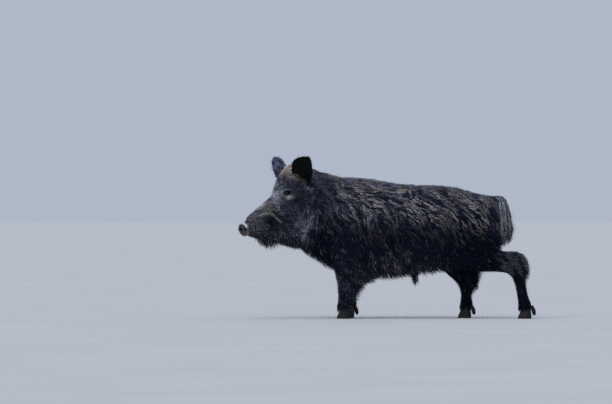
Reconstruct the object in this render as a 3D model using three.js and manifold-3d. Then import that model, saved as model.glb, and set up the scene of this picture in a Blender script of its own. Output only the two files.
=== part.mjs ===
// Wild boar (Sus scrofa), an adult male in winter coat, as a still life-size model.
// It stands square on its forelegs, its right hind leg under it and its left hind leg
// stretched far back, and turns its head to its left.
//
// Millimetres, +Z up. The nose points towards -X and the animal's left side faces -Y.
// Every surface is the outline of the coat, out to the tips of the hair.

import * as THREE from 'three';
import { LoftGeometry } from 'three/addons/geometries/LoftGeometry.js';
import { mergeVertices } from 'three/addons/utils/BufferGeometryUtils.js';
import Module from 'manifold-3d';

const wasm = await Module();
wasm.setup();

// ---- Driving dimensions ----

const WITHERS_HEIGHT = 842; // floor to the hair on the withers
const BELLY_HEIGHT = 264; // floor to the hair under the chest
const TRUNK_HALF_WIDTH = 200; // at the last ribs
const FOOT_SPREAD = 105; // midline to the middle of each foot
const CUT = 0.4; // width of the cuts that part the body
const CLEARANCE = 0.4; // gap round a piece that is set into another
const LEFT = -1; // side factors on Y
const RIGHT = 1;

const head = {
  pivot: new THREE.Vector3(-480, -35, 0), // plumb through the joint of skull and neck
  yaw: THREE.MathUtils.degToRad(38), // turned to the animal's left
};
const eye = { radius: 11, forward: 184, side: 67, height: 752 };
const disc = { forward: 436, height: 540, radius: 42, thickness: 26, pitch: 16 };
const ear = { length: 198, halfWidth: 61, forward: 78, side: 72, height: 790 };
const earPoses = {
  // out and tipForward lean the tip, open turns the hollow from straight ahead to its own
  // side, and the shifts move tip and root along the ear's width, outwards.
  left: { out: 14, tipForward: 9, open: 34, tipShift: 22, rootShift: 18 },
  right: { out: 15, tipForward: 13, open: -2, tipShift: 4, rootShift: -8 },
};
const hoof = { height: 52, length: 78, halfWidth: 16, spread: 18 };
const dewclaw = { height: 36, length: 30, halfWidth: 11, spread: 23 };

// ---- Lofted flesh ----

// A rib is one cross-section of a body part. It runs from point a to point b, both [x, z],
// and bulges sideways to halfWidth round the plane Y = y. A positive egg moves the widest
// level towards b, and square over 2 makes the section boxier.
function rib(a, b, halfWidth, y = 0, egg = 0, square = 2) {
  return { a, b, halfWidth, y, egg, square };
}

// The closed ring of points round a rib, grown outwards by grow.
function ringOf(r, points, grow) {
  const a = new THREE.Vector3(r.a.x, r.a.y, r.a.z);
  const b = new THREE.Vector3(r.b.x, r.b.y, r.b.z);
  const middle = a.clone().add(b).multiplyScalar(0.5);
  const half = a.clone().sub(b).multiplyScalar(0.5);
  const reach = half.length() + grow;
  half.normalize();
  const power = 2 / r.square;
  const bent = (v) => Math.sign(v) * Math.abs(v) ** power;
  return Array.from({ length: points }, (_, i) => {
    const turn = (i / points) * Math.PI * 2;
    const along = bent(Math.cos(turn));
    const across = bent(Math.sin(turn)) * (1 - r.egg * along);
    return middle
      .clone()
      .addScaledVector(half, along * reach)
      .add(new THREE.Vector3(0, across * (r.halfWidth + grow), 0));
  });
}

// Rings along smooth curves through the ribs, steps of them between each two ribs.
function ringsOf(ribs, { steps = 2, points = 24, grow = 0 } = {}) {
  const smooth = (of) => new THREE.CatmullRomCurve3(ribs.map(of), false, 'centripetal');
  const curves = {
    a: smooth((r) => new THREE.Vector3(r.a[0], r.y, r.a[1])),
    b: smooth((r) => new THREE.Vector3(r.b[0], r.y, r.b[1])),
  };
  const count = (ribs.length - 1) * steps;
  return Array.from({ length: count + 1 }, (_, i) => {
    const at = i / steps;
    const low = Math.min(Math.floor(at), ribs.length - 2);
    const share = THREE.MathUtils.smoothstep(at - low, 0, 1);
    const blended = (key) => THREE.MathUtils.lerp(ribs[low][key], ribs[low + 1][key], share);
    const section = {
      a: curves.a.getPoint(i / count),
      b: curves.b.getPoint(i / count),
      halfWidth: blended('halfWidth'),
      egg: blended('egg'),
      square: blended('square'),
    };
    return ringOf(section, points, grow);
  });
}

function solidOf(geometry) {
  const bare = new THREE.BufferGeometry().copy(geometry);
  bare.deleteAttribute('normal');
  bare.deleteAttribute('uv');
  const merged = mergeVertices(bare, 1e-3);
  return new wasm.Manifold(
    new wasm.Mesh({
      numProp: 3,
      vertProperties: merged.attributes.position.array,
      triVerts: new Uint32Array(merged.index.array),
    }),
  );
}

// Whether a ring runs counter-clockwise as seen from the ring after it.
function runsWith(ring, next) {
  const centreOf = (points) =>
    points.reduce((sum, p) => sum.add(p), new THREE.Vector3()).divideScalar(points.length);
  const centre = centreOf(ring);
  const normal = new THREE.Vector3();
  ring.forEach((p, i) => {
    const q = ring[(i + 1) % ring.length];
    normal.add(p.clone().sub(centre).cross(q.clone().sub(centre)));
  });
  return normal.dot(centreOf(next).sub(centre)) > 0;
}

// A closed solid through rings of points, whichever way round they run.
function skinned(rings, place = (geometry) => geometry) {
  const turned = runsWith(rings[0], rings[1]) ? rings : rings.map((r) => [...r].reverse());
  return solidOf(place(new LoftGeometry(turned, { capStart: true, capEnd: true })));
}

function lofted(ribs, options, place) {
  return skinned(ringsOf(ribs, options), place);
}

// From the head's own frame, nose towards -X, to where the head is held.
function onHead(geometry) {
  return geometry.rotateZ(head.yaw).translate(...head.pivot);
}

// A place on the head: forward of the pivot, out to a side, and above the floor.
function headPoint(forward, side, height) {
  return new THREE.Vector3(-forward, side, height)
    .applyAxisAngle(new THREE.Vector3(0, 0, 1), head.yaw)
    .add(head.pivot);
}

// ---- Trunk and neck ----

const trunkRibs = [
  rib([664, 706], [654, 585], 24),
  rib([656, 731], [642, 490], 78),
  rib([614, 742], [590, 415], 124, 0, 0.04),
  rib([545, 752], [520, 352], 152, 0, 0.05),
  rib([445, 784], [430, 322], 170, 0, 0.06, 2.1),
  rib([325, 798], [318, 306], TRUNK_HALF_WIDTH - 15, 0, 0.06, 2.1),
  rib([180, 800], [180, 288], TRUNK_HALF_WIDTH - 2, 0, 0.08, 2.1),
  rib([60, 810], [60, 268], TRUNK_HALF_WIDTH, 0, 0.1, 2.1),
  rib([-60, 835], [-60, BELLY_HEIGHT - 4], TRUNK_HALF_WIDTH - 4, 0, 0.13, 2.05),
  rib([-180, WITHERS_HEIGHT + 4], [-170, BELLY_HEIGHT + 2], 188, 0, 0.16),
  rib([-270, WITHERS_HEIGHT + 10], [-268, 280], 176, -1, 0.17),
  rib([-345, 878], [-338, 316], 162, -5, 0.14),
  rib([-410, 900], [-410, 364], 152, -20, 0.1),
  rib([-462, 908], [-474, 404], 143, -40, 0.06),
  rib([-512, 900], [-530, 446], 120, -60, 0.04),
];

// The tuft of hair under the belly where the sheath ends.
const sheathRibs = [
  rib([150, 330], [212, 330], 26),
  rib([152, 286], [206, 286], 20),
  rib([164, 244], [193, 242], 11),
  rib([173, 210], [183, 209], 3),
];

// ---- Head, in its own frame: [distance forward of the pivot, height] ----

const forward = (ribs) =>
  ribs.map((r) => ({ ...r, a: [-r.a[0], r.a[1]], b: [-r.b[0], r.b[1]] }));

const headRibs = forward([
  rib([-46, 868], [-20, 450], 84, 0, 0.1),
  rib([22, 906], [46, 428], 108, 0, 0.14),
  rib([84, 922], [112, 440], 114, 0, 0.2),
  rib([138, 904], [172, 450], 106, 0, 0.22, 2.05),
  rib([174, 852], [222, 451], 92, 0, 0.16, 2.05),
  rib([198, 796], [264, 448], 77, 0, 0.12, 2.1),
  rib([232, 748], [306, 456], 65, 0, 0.08, 2.1),
  rib([288, 707], [346, 470], 57, 0, 0.05, 2.15),
  rib([346, 664], [384, 484], 51, 0, 0.03, 2.2),
  rib([400, 618], [412, 494], 46, 0, 0.02, 2.2),
  rib([432, 586], [430, 501], 42, 0, 0, 2.2),
]);

// The snout disc is a thick oval pad, dished on its face, with two nostrils.
function snoutDisc() {
  const { radius, thickness } = disc;
  const profile = [
    [0, 0],
    [radius * 0.88, 0],
    [radius, thickness * 0.3],
    [radius, thickness * 0.72],
    [radius * 0.9, thickness * 0.96],
    [radius * 0.72, thickness],
    [radius * 0.4, thickness * 0.88],
    [0, thickness * 0.84],
  ];
  const pad = new THREE.LatheGeometry(
    profile.map((p) => new THREE.Vector2(...p)),
    20,
  );
  const aim = (geometry) =>
    onHead(
      geometry
        .rotateZ(Math.PI / 2) // the lathe's axis turns to -X, the way the nose points
        .rotateY(-THREE.MathUtils.degToRad(disc.pitch))
        .translate(-disc.forward, 0, disc.height),
    );
  const nostril = (side) => {
    const hole = new THREE.SphereGeometry(1, 10, 6).scale(10, 15, 7);
    return solidOf(aim(hole.translate(side * 21, thickness * 0.95, 2)));
  };
  return solidOf(aim(pad.scale(1.02, 1, 0.98)))
    .subtract(nostril(LEFT))
    .subtract(nostril(RIGHT));
}

// An ear is a leaf-shaped cup, rolled into a funnel at its root.
function earSolid(side, pose) {
  const stations = 10;
  const arcPoints = 8;
  const { lerp, degToRad } = THREE.MathUtils;
  const shares = Array.from({ length: arcPoints }, (_, k) => (k / (arcPoints - 1)) * 2 - 1);
  const rings = Array.from({ length: stations }, (_, i) => {
    const t = i / (stations - 1);
    const wide = 0.58 + 0.42 * Math.sin((Math.min(t * 2.1, 1) * Math.PI) / 2);
    const taper = Math.sqrt(Math.max(1 - Math.max((t - 0.5) / 0.5, 0) ** 2.6, 0.02));
    const reach = ear.halfWidth * wide * taper;
    const cup = lerp(44, 12, t) * taper;
    const thick = lerp(12, 6, t);
    const shift = pose.tipShift * t ** 3 + pose.rootShift * (1 - t) ** 2;
    const at = (share, depth) =>
      new THREE.Vector3(
        cup * (1 - share ** 2) - depth,
        side * (shift + share * reach),
        t * ear.length,
      );
    const back = shares.map((s) => at(s, 0));
    const front = shares.map((s) => at(s * 0.9, thick * (1.15 - 0.3 * s ** 2))).reverse();
    return [...back, ...front];
  });
  return skinned(rings, (geometry) =>
    onHead(
      geometry
        .rotateZ(side * -degToRad(pose.open))
        .rotateX(side * -degToRad(pose.out))
        .rotateY(-degToRad(pose.tipForward))
        .translate(-ear.forward, side * ear.side, ear.height),
    ),
  );
}

// ---- Legs ----

const shifted = (ribs, dx) =>
  ribs.map((r) => ({ ...r, a: [r.a[0] + dx, r.a[1]], b: [r.b[0] + dx, r.b[1]] }));

const onSide = (ribs, side) => ribs.map((r) => ({ ...r, y: side * r.y }));

const foreRibs = [
  rib([-330, 640], [-90, 660], 34, 96),
  rib([-334, 540], [-92, 560], 58, 104),
  rib([-322, 430], [-88, 440], 72, 106),
  rib([-312, 335], [-92, 330], 66, 107),
  rib([-299, 270], [-112, 260], 52, 106),
  rib([-287, 205], [-152, 196], 41, FOOT_SPREAD),
  rib([-281, 155], [-180, 150], 35, FOOT_SPREAD),
  rib([-280, 110], [-190, 106], 33, FOOT_SPREAD),
  rib([-285, 78], [-190, 78], 36, FOOT_SPREAD),
  rib([-290, hoof.height], [-200, hoof.height + 3], 35, FOOT_SPREAD),
];

const hindRightRibs = [
  rib([380, 660], [600, 690], 20, 60),
  rib([312, 590], [638, 620], 58, 84),
  rib([304, 490], [642, 530], 76, 94),
  rib([314, 385], [620, 405], 72, 102),
  rib([344, 300], [588, 320], 58, FOOT_SPREAD),
  rib([398, 246], [574, 262], 46, FOOT_SPREAD),
  rib([440, 206], [566, 220], 39, FOOT_SPREAD),
  rib([460, 168], [548, 172], 34, FOOT_SPREAD),
  rib([464, 125], [534, 128], 32, FOOT_SPREAD),
  rib([458, 82], [538, 84], 36, FOOT_SPREAD),
  rib([450, hoof.height], [532, hoof.height + 3], 35, FOOT_SPREAD),
];

const hindLeftRibs = [
  rib([380, 660], [600, 690], 20, 60),
  rib([312, 590], [642, 620], 58, 84),
  rib([304, 480], [654, 526], 76, 94),
  rib([344, 368], [672, 428], 74, 102),
  rib([444, 296], [694, 412], 62, 106),
  rib([560, 278], [736, 404], 51, 107),
  rib([696, 276], [812, 408], 43, 107),
  rib([756, 258], [850, 352], 39, FOOT_SPREAD),
  rib([776, 212], [854, 246], 35, FOOT_SPREAD),
  rib([792, 150], [860, 164], 32, FOOT_SPREAD),
  rib([800, 96], [880, 98], 36, FOOT_SPREAD),
  rib([800, hoof.height], [886, hoof.height + 3], 35, FOOT_SPREAD),
];

// One of a foot's two hooves: a blunt wedge, flat underneath, its inner wall straight.
function hoofSolid(heel, y, inward) {
  const { height, length, halfWidth } = hoof;
  const y0 = y - inward * hoof.spread;
  return lofted(
    [
      rib([heel - length, 0], [heel, 0], halfWidth, y0, 0.12, 2.3),
      rib([heel - length * 0.98, height * 0.25], [heel + 2, height * 0.25], halfWidth, y0, 0.12, 2.3),
      rib([heel - length * 0.88, height * 0.65], [heel + 3, height * 0.65], halfWidth - 0.5, y0, 0.08, 2.2),
      rib([heel - length * 0.78, height - CLEARANCE], [heel + 2, height - CLEARANCE], halfWidth - 1.5, y0, 0.04, 2.1),
    ],
    { steps: 1, points: 10 },
  );
}

// One of the two small claws behind a foot.
function dewclawSolid(heel, y, inward, grow = 0) {
  const { height, length, halfWidth } = dewclaw;
  const y0 = y - inward * dewclaw.spread;
  return lofted(
    [
      rib([heel - 6, height + 40], [heel + 16, height + 44], halfWidth - 2, y0),
      rib([heel + 2, height + 18], [heel + 28, height + 22], halfWidth, y0),
      rib([heel + 6, height - 2], [heel + length, height + 2], halfWidth - 2, y0),
      rib([heel + 10, height - 16], [heel + length - 6, height - 14], 4, y0),
    ],
    { steps: 1, points: 8, grow },
  );
}

// Each leg has its ribs, the cuts across it and its pieces' names and places [x, z] from
// the top down.
const legs = [
  {
    name: 'fore_left',
    side: LEFT,
    ribs: foreRibs,
    cuts: [[[-350, 254], [-60, 254]], [[-310, 178], [-110, 178]]],
    pieces: { upper_arm: [-215, 285], forearm: [-215, 215], forecannon: [-228, 130] },
  },
  {
    name: 'fore_right',
    side: RIGHT,
    ribs: shifted(foreRibs, 26),
    cuts: [[[-350, 254], [-40, 254]], [[-310, 178], [-80, 178]]],
    pieces: { upper_arm: [-190, 285], forearm: [-190, 215], forecannon: [-205, 130] },
  },
  {
    name: 'hind_left',
    side: LEFT,
    ribs: hindLeftRibs,
    cuts: [[[530, 244], [745, 450]], [[738, 218], [890, 290]]],
    pieces: { thigh: [480, 345], gaskin: [740, 335], hindcannon: [822, 170] },
  },
  {
    name: 'hind_right',
    side: RIGHT,
    ribs: hindRightRibs,
    cuts: [[[310, 276], [620, 316]], [[425, 186], [600, 196]]],
    pieces: { thigh: [470, 345], gaskin: [480, 250], hindcannon: [500, 150] },
  },
];

// ---- Tail: a thin dock hung with a long tassel ----

const tailRibs = [
  rib([646, 712], [690, 744], 16),
  rib([660, 690], [730, 730], 22),
  rib([668, 645], [752, 668], 28),
  rib([672, 590], [766, 596], 31),
  rib([674, 530], [776, 528], 30),
  rib([682, 478], [772, 472], 23),
  rib([708, 432], [744, 426], 9),
];

// ---- Cuts that part the body ----

// A thin wall across the body at [x, y, z], turned by yaw about Z and leaned by lean.
function wall([x, y, z], { yaw = 0, lean = 0, width, tall }) {
  const radians = THREE.MathUtils.degToRad;
  const made = new THREE.BoxGeometry(CUT, width, tall);
  return solidOf(made.rotateY(radians(lean)).rotateZ(radians(yaw)).translate(x, y, z));
}

// A thin wall through two [x, z] points, across the leg on one side.
function legCut([x0, z0], [x1, z1], side) {
  const long = Math.hypot(x1 - x0, z1 - z0);
  const made = new THREE.BoxGeometry(long, 240, CUT);
  made.rotateY(-Math.atan2(z1 - z0, x1 - x0));
  return solidOf(made.translate((x0 + x1) / 2, side * FOOT_SPREAD, (z0 + z1) / 2));
}

// The mouth: one wall along the lips and one down behind the jaw, in the head's frame.
function mouthCut(from, to) {
  const long = Math.hypot(to[0] - from[0], to[1] - from[1]) + 10; // so that the two cuts cross
  const made = new THREE.BoxGeometry(long, 240, CUT);
  made.rotateY(-Math.atan2(to[1] - from[1], -(to[0] - from[0])));
  return solidOf(onHead(made.translate(-(from[0] + to[0]) / 2, 0, (from[1] + to[1]) / 2)));
}

const bodyCuts = [
  wall([-440, -28, 650], { yaw: 19, lean: 8, width: 520, tall: 760 }),
  wall([-322, -4, 600], { yaw: 8, lean: 6, width: 560, tall: 760 }),
  mouthCut([470, 512], [240, 536]),
  mouthCut([241, 536], [196, 410]),
];

// ---- Materials ----

const coat = new THREE.MeshStandardMaterial({ color: 0x2b2522, roughness: 0.85 });
const faceHair = new THREE.MeshStandardMaterial({ color: 0x4b423b, roughness: 0.8 });
const snoutSkin = new THREE.MeshStandardMaterial({ color: 0x5a4a46, roughness: 0.5 });
const horn = new THREE.MeshStandardMaterial({ color: 0x1d1917, roughness: 0.5 });
const eyeball = new THREE.MeshStandardMaterial({ color: 0x120b08, roughness: 0.08 });

// ---- Putting it together ----

function meshOf(name, solid, material) {
  const { vertProperties, triVerts } = solid.getMesh();
  const geometry = new THREE.BufferGeometry();
  geometry.setAttribute('position', new THREE.BufferAttribute(vertProperties, 3));
  geometry.setIndex(new THREE.BufferAttribute(triVerts, 1));
  geometry.computeVertexNormals();
  const mesh = new THREE.Mesh(geometry, material);
  mesh.name = name;
  return mesh;
}

const trunkOptions = { steps: 2, points: 22 };
const headOptions = { steps: 2, points: 22 };
const legOptions = { steps: 2, points: 14 };
const tailOptions = { steps: 2, points: 10 };

function eyeSolid(side, grow = 0) {
  const at = headPoint(eye.forward, side * eye.side, eye.height);
  return solidOf(new THREE.SphereGeometry(eye.radius + grow, 12, 8).translate(...at));
}

// The parts of a cut solid, each known by a place inside it.
function namedParts(solid, places) {
  const parts = solid.decompose();
  return Object.entries(places).map(([name, at]) => {
    const probe = solidOf(new THREE.BoxGeometry(4, 4, 4).translate(...at));
    const found = parts.filter((part) => part.intersect(probe).volume() > 1);
    if (found.length !== 1) throw new Error(`${name}: ${found.length} parts there`);
    return [name, found[0]];
  });
}

const grown = (ribs, options, place) => lofted(ribs, { ...options, grow: CLEARANCE }, place);
const headGrown = grown(headRibs, headOptions, onHead);
const trunkGrown = grown(trunkRibs, trunkOptions);
const rumpGrown = grown(trunkRibs, trunkOptions, (geometry) => geometry.translate(1, 0, 0));

const pieces = [];

let body = lofted(trunkRibs, trunkOptions)
  .add(lofted(sheathRibs, { steps: 1, points: 10 }))
  .add(lofted(headRibs, headOptions, onHead));
for (const cut of bodyCuts) body = body.subtract(cut);
for (const [label, side] of [['left', LEFT], ['right', RIGHT]]) {
  pieces.push([`eye_${label}`, eyeSolid(side), eyeball]);
  body = body.subtract(eyeSolid(side, CLEARANCE));
}
const bodyParts = namedParts(body, {
  trunk: new THREE.Vector3(0, 0, 550),
  neck: new THREE.Vector3(-385, -10, 640),
  head: headPoint(120, 0, 700),
  lower_jaw: headPoint(320, 0, 495),
});
const onFace = ['head', 'lower_jaw'];
for (const [name, solid] of bodyParts) {
  pieces.push([name, solid, onFace.includes(name) ? faceHair : coat]);
}

for (const leg of legs) {
  const ribs = onSide(leg.ribs, leg.side);
  const heel = ribs[ribs.length - 1].b[0] - 6;
  const y = leg.side * FOOT_SPREAD;
  let flesh = lofted(ribs, legOptions).subtract(trunkGrown).subtract(rumpGrown);
  for (const [label, inward] of [['inner', leg.side], ['outer', -leg.side]]) {
    pieces.push([`hoof_${leg.name}_${label}`, hoofSolid(heel, y, inward), horn]);
    pieces.push([`dewclaw_${leg.name}_${label}`, dewclawSolid(heel, y, inward), horn]);
    flesh = flesh.subtract(dewclawSolid(heel, y, inward, CLEARANCE));
  }
  for (const [from, to] of leg.cuts) flesh = flesh.subtract(legCut(from, to, leg.side));
  const label = leg.side === LEFT ? 'left' : 'right';
  const places = Object.entries(leg.pieces).map(([name, [x, z]]) => [
    `${name}_${label}`,
    new THREE.Vector3(x, y, z),
  ]);
  for (const [name, solid] of namedParts(flesh, Object.fromEntries(places))) {
    pieces.push([name, solid, coat]);
  }
}

for (const [label, side] of [['left', LEFT], ['right', RIGHT]]) {
  const solid = earSolid(side, earPoses[label]).subtract(headGrown).subtract(trunkGrown);
  pieces.push([`ear_${label}`, solid, coat]);
}
pieces.push(['snout_disc', snoutDisc().subtract(headGrown), snoutSkin]);

let tail = lofted(tailRibs, tailOptions).subtract(trunkGrown).subtract(rumpGrown);
for (const leg of legs.slice(2)) {
  tail = tail.subtract(grown(onSide(leg.ribs, leg.side), legOptions));
}
pieces.push(['tail', tail, coat]);

const boar = new THREE.Group();
for (const piece of pieces) boar.add(meshOf(...piece));

// The origin is on the floor under the middle of the animal's outline.
const outline = new THREE.Box3().setFromObject(boar);
const middle = outline.getCenter(new THREE.Vector3());
boar.position.set(-middle.x, -middle.y, -outline.min.z);

export default boar;
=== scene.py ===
"""Wild boar in winter coat, a still life-size museum model: hide, coat, eyes, snout, hooves and studio.

Metres, +Z up, the nose towards -X and the animal's left side towards -Y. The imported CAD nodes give
the outline of the coat. The hide lies under that outline by the coat's depth, and tufts of hair grow
from the hide back out to it.
"""

from __future__ import annotations

import logging
import math
from dataclasses import dataclass
from enum import Enum
from typing import Iterator, Sequence

import bmesh
import bpy
import numpy as np
import openvdb as vdb
from mathutils.bvhtree import BVHTree
from mathutils.kdtree import KDTree
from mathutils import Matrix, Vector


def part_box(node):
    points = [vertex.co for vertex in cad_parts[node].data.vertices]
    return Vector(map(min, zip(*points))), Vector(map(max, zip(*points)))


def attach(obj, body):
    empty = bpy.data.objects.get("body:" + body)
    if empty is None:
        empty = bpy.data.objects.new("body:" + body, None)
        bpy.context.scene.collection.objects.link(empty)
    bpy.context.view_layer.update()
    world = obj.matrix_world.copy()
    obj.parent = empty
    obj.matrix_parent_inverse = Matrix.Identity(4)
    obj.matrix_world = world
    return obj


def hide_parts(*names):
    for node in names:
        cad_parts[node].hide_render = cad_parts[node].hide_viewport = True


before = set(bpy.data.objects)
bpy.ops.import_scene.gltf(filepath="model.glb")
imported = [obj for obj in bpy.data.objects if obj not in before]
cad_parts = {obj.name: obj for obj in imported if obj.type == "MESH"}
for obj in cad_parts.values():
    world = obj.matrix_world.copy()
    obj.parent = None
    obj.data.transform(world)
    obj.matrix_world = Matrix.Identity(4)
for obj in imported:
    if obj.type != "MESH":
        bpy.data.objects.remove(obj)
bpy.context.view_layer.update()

LOG = logging.getLogger("boar")
MM = 0.001
BODY = "root"
BAKE_MAP = "OFBake"
TONE = "Tone"
UP = np.array([0.0, 0.0, 1.0])
Array = np.ndarray
Mesh = bpy.types.Mesh
Material = bpy.types.Material


# ---- Small mathematics on arrays of points ----


def smooth(low: float, high: float, x: Array) -> Array:
    """Rises smoothly from 0 at low to 1 at high, or falls where low is the larger.

    Args:
        low: value of x that gives 0.
        high: value of x that gives 1.
        x: the values to grade.

    Returns:
        The shares, from 0 to 1.
    """
    t = np.clip((x - low) / (high - low), 0.0, 1.0)
    return t * t * (3.0 - 2.0 * t)


def bell(x: Array, centre: float, width: float) -> Array:
    """A bump of height 1 at centre that fades over width."""
    return np.exp(-(((x - centre) / width) ** 2))


def unit(v: Array) -> Array:
    """The same vectors, one long."""
    return v / np.maximum(np.linalg.norm(v, axis=-1, keepdims=True), 1e-9)


def dot(a: Array, b: Array) -> Array:
    """Row by row scalar product, kept as a column."""
    return (a * b).sum(-1, keepdims=True)


def mix(a: Array, b: Array, share: Array) -> Array:
    """From a at share 0 to b at share 1, where rows of three take one share each.

    Args:
        a: values at share 0.
        b: values at share 1.
        share: share of b.

    Returns:
        The values between.
    """
    a, b, share = np.asarray(a), np.asarray(b), np.asarray(share)
    if 3 in (*a.shape[-1:], *b.shape[-1:]) and share.shape[-1:] not in ((3,), (1,)):
        share = share[..., None]
    return a + (b - a) * share


def laid(v: Array, normals: Array) -> Array:
    """The same vectors laid on a surface with those normals, one long."""
    return unit(v - dot(v, normals) * normals)


def cell_corners(part: Array) -> Iterator[tuple[Array, Array]]:
    """Goes round the corners of lattice cells.

    Args:
        part: where each point lies in its cell, from 0 to 1 on three axes.

    Yields:
        A corner's step from the cell's first corner, and its share of each point.
    """
    for corner in range(8):
        bits = np.array([corner & 1, corner >> 1 & 1, corner >> 2 & 1])
        yield bits, np.prod(np.where(bits, part, 1.0 - part), axis=1)


def circle(count: int) -> Array:
    """Angles evenly round a full turn."""
    return np.arange(count) / count * 2 * math.pi


def columns_of(*columns: Array | float) -> Array:
    """Columns of numbers side by side, as rows."""
    return np.stack(np.broadcast_arrays(*columns), axis=-1)


def srgb(code: str) -> Array:
    """Linear red, green and blue of an sRGB hex code such as '#2b2522'."""
    raw = np.array([int(code[i : i + 2], 16) / 255.0 for i in (1, 3, 5)])
    return np.where(raw <= 0.04045, raw / 12.92, ((raw + 0.055) / 1.055) ** 2.4)


def rgba(code: str) -> tuple[float, ...]:
    """The colour as a shader socket takes it."""
    return (*srgb(code), 1.0)


@dataclass(frozen=True)
class Noise:
    """Repeatable smooth noise in space, from 0 to 1."""

    size: float  # distance over which it changes, in metres
    seed: int

    def __call__(self, points: Array) -> Array:
        """The noise at rows of points.

        Args:
            points: rows of points.

        Returns:
            A number from 0 to 1 for each.
        """
        q = points / self.size + self.seed * 19.19
        cell = np.floor(q).astype(np.int64)
        part = q - cell
        part = part * part * (3.0 - 2.0 * part)
        total = np.zeros(len(points))
        for bits, share in cell_corners(part):
            at = cell + bits
            mixed = at[:, 0] * 73856093 ^ at[:, 1] * 19349663 ^ at[:, 2] * 83492791
            mixed = (mixed ^ (mixed >> 13)) * 1274126177 & 0x7FFFFFFF
            value = ((mixed ^ (mixed >> 15)) & 0xFFFF) / 65535.0
            total += value * share
        return total


# ---- The animal's own measures ----


class Side(Enum):
    """Left and right of the animal, as factors on its own sideways axis."""

    LEFT = -1
    RIGHT = 1

    @property
    def label(self) -> str:
        """The word that node names use."""
        return self.name.lower()


class Part(Enum):
    """The stretches of hide, each with its own lie of the coat."""

    TRUNK = 0
    NECK = 1
    HEAD = 2
    FORE_UPPER = 3
    FORE_LOWER = 4
    THIGH_LEFT = 5
    THIGH_RIGHT = 6
    SHANK_LEFT = 7
    SHANK_RIGHT = 8
    CANNON_LEFT = 9
    CANNON_RIGHT = 10
    EAR = 11
    DOCK = 12
    LID = 13


# For each node of a leg, its Part on the left and on the right.
LIMB_PARTS = {
    "upper_arm": (Part.FORE_UPPER, Part.FORE_UPPER),
    "forearm": (Part.FORE_LOWER, Part.FORE_LOWER),
    "forecannon": (Part.FORE_LOWER, Part.FORE_LOWER),
    "thigh": (Part.THIGH_LEFT, Part.THIGH_RIGHT),
    "gaskin": (Part.SHANK_LEFT, Part.SHANK_RIGHT),
    "hindcannon": (Part.CANNON_LEFT, Part.CANNON_RIGHT),
}
# The CAD nodes of flesh that the hide stands for.
NODE_PARTS = {"trunk": Part.TRUNK, "neck": Part.NECK, "head": Part.HEAD, "lower_jaw": Part.HEAD} | {
    f"{limb}_{side.label}": part for limb, parts in LIMB_PARTS.items() for side, part in zip(Side, parts)
}
FEET = ("fore_left", "fore_right", "hind_left", "hind_right")


def read(source: bpy.types.bpy_prop_collection, key: str, width: int, kind: type = float) -> Array:
    """Rows of one property of a mesh's vertices, edges, loops or triangles.

    Args:
        source: the mesh's collection.
        key: the property.
        width: numbers in each row.
        kind: type of the numbers.

    Returns:
        The rows.
    """
    flat = np.zeros(len(source) * width, kind)
    source.foreach_get(key, flat)
    return flat.reshape(-1, width)


def triangles_of(mesh: Mesh) -> Array:
    """The mesh's triangles, as rows of vertex numbers."""
    mesh.calc_loop_triangles()
    return read(mesh.loop_triangles, "vertices", 3, np.int32)


def flesh_nodes() -> tuple[Array, Array, list[int]]:
    """All CAD nodes of flesh as one surface.

    Returns:
        Its vertices, its triangles and the number of each triangle's Part.
    """
    points, triangles, owners, base = [], [], [], 0
    for name, part in NODE_PARTS.items():
        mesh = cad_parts[name].data
        points.append(read(mesh.vertices, "co", 3))
        triangles.append(triangles_of(mesh) + base)
        owners += [part.value] * len(triangles[-1])
        base += len(points[-1])
    return np.concatenate(points), np.concatenate(triangles), owners


def box_centre(name: str) -> Array:
    """The middle of a CAD node's box."""
    low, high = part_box(name)
    return np.array((low + high) / 2)


@dataclass(frozen=True)
class HeadFrame:
    """The head's own axes: forward to the nose, sideways to its right, and up."""

    EYE_FORWARD = 0.184

    pivot: Array  # joint of skull and neck, on the floor's level
    ahead: Array  # level unit vector towards the nose
    across: Array  # level unit vector to the head's right

    @classmethod
    def from_eyes(cls) -> HeadFrame:
        """Reads the head's place and turn from the two eye nodes.

        Returns:
            The head's axes.
        """
        left, right = box_centre("eye_left"), box_centre("eye_right")
        across = right - left
        across[2] = 0.0
        across = across / np.linalg.norm(across)
        ahead = np.array([-across[1], across[0], 0.0])
        if ahead[0] > 0:
            ahead = -ahead
        pivot = (left + right) / 2 - ahead * cls.EYE_FORWARD
        pivot[2] = 0.0
        return cls(pivot, ahead, across)

    def coords(self, points: Array) -> tuple[Array, Array, Array]:
        """Forward, sideways and height of rows of points."""
        away = points - self.pivot
        return away @ self.ahead, away @ self.across, points[:, 2]

    def place(self, forward: Array, side: Array, height: Array) -> Array:
        """The points at those head measures.

        Args:
            forward: distances towards the nose.
            side: distances to the head's right.
            height: heights over the floor.

        Returns:
            Rows of points.
        """
        forward, side, height = np.broadcast_arrays(forward, side, height)
        level = self.pivot + forward[..., None] * self.ahead + side[..., None] * self.across
        level[..., 2] = height
        return level

    def turn(self, forward: float, side: float, up: float) -> Array:
        """A direction given along the head's own axes."""
        return forward * self.ahead + side * self.across + up * UP


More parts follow.
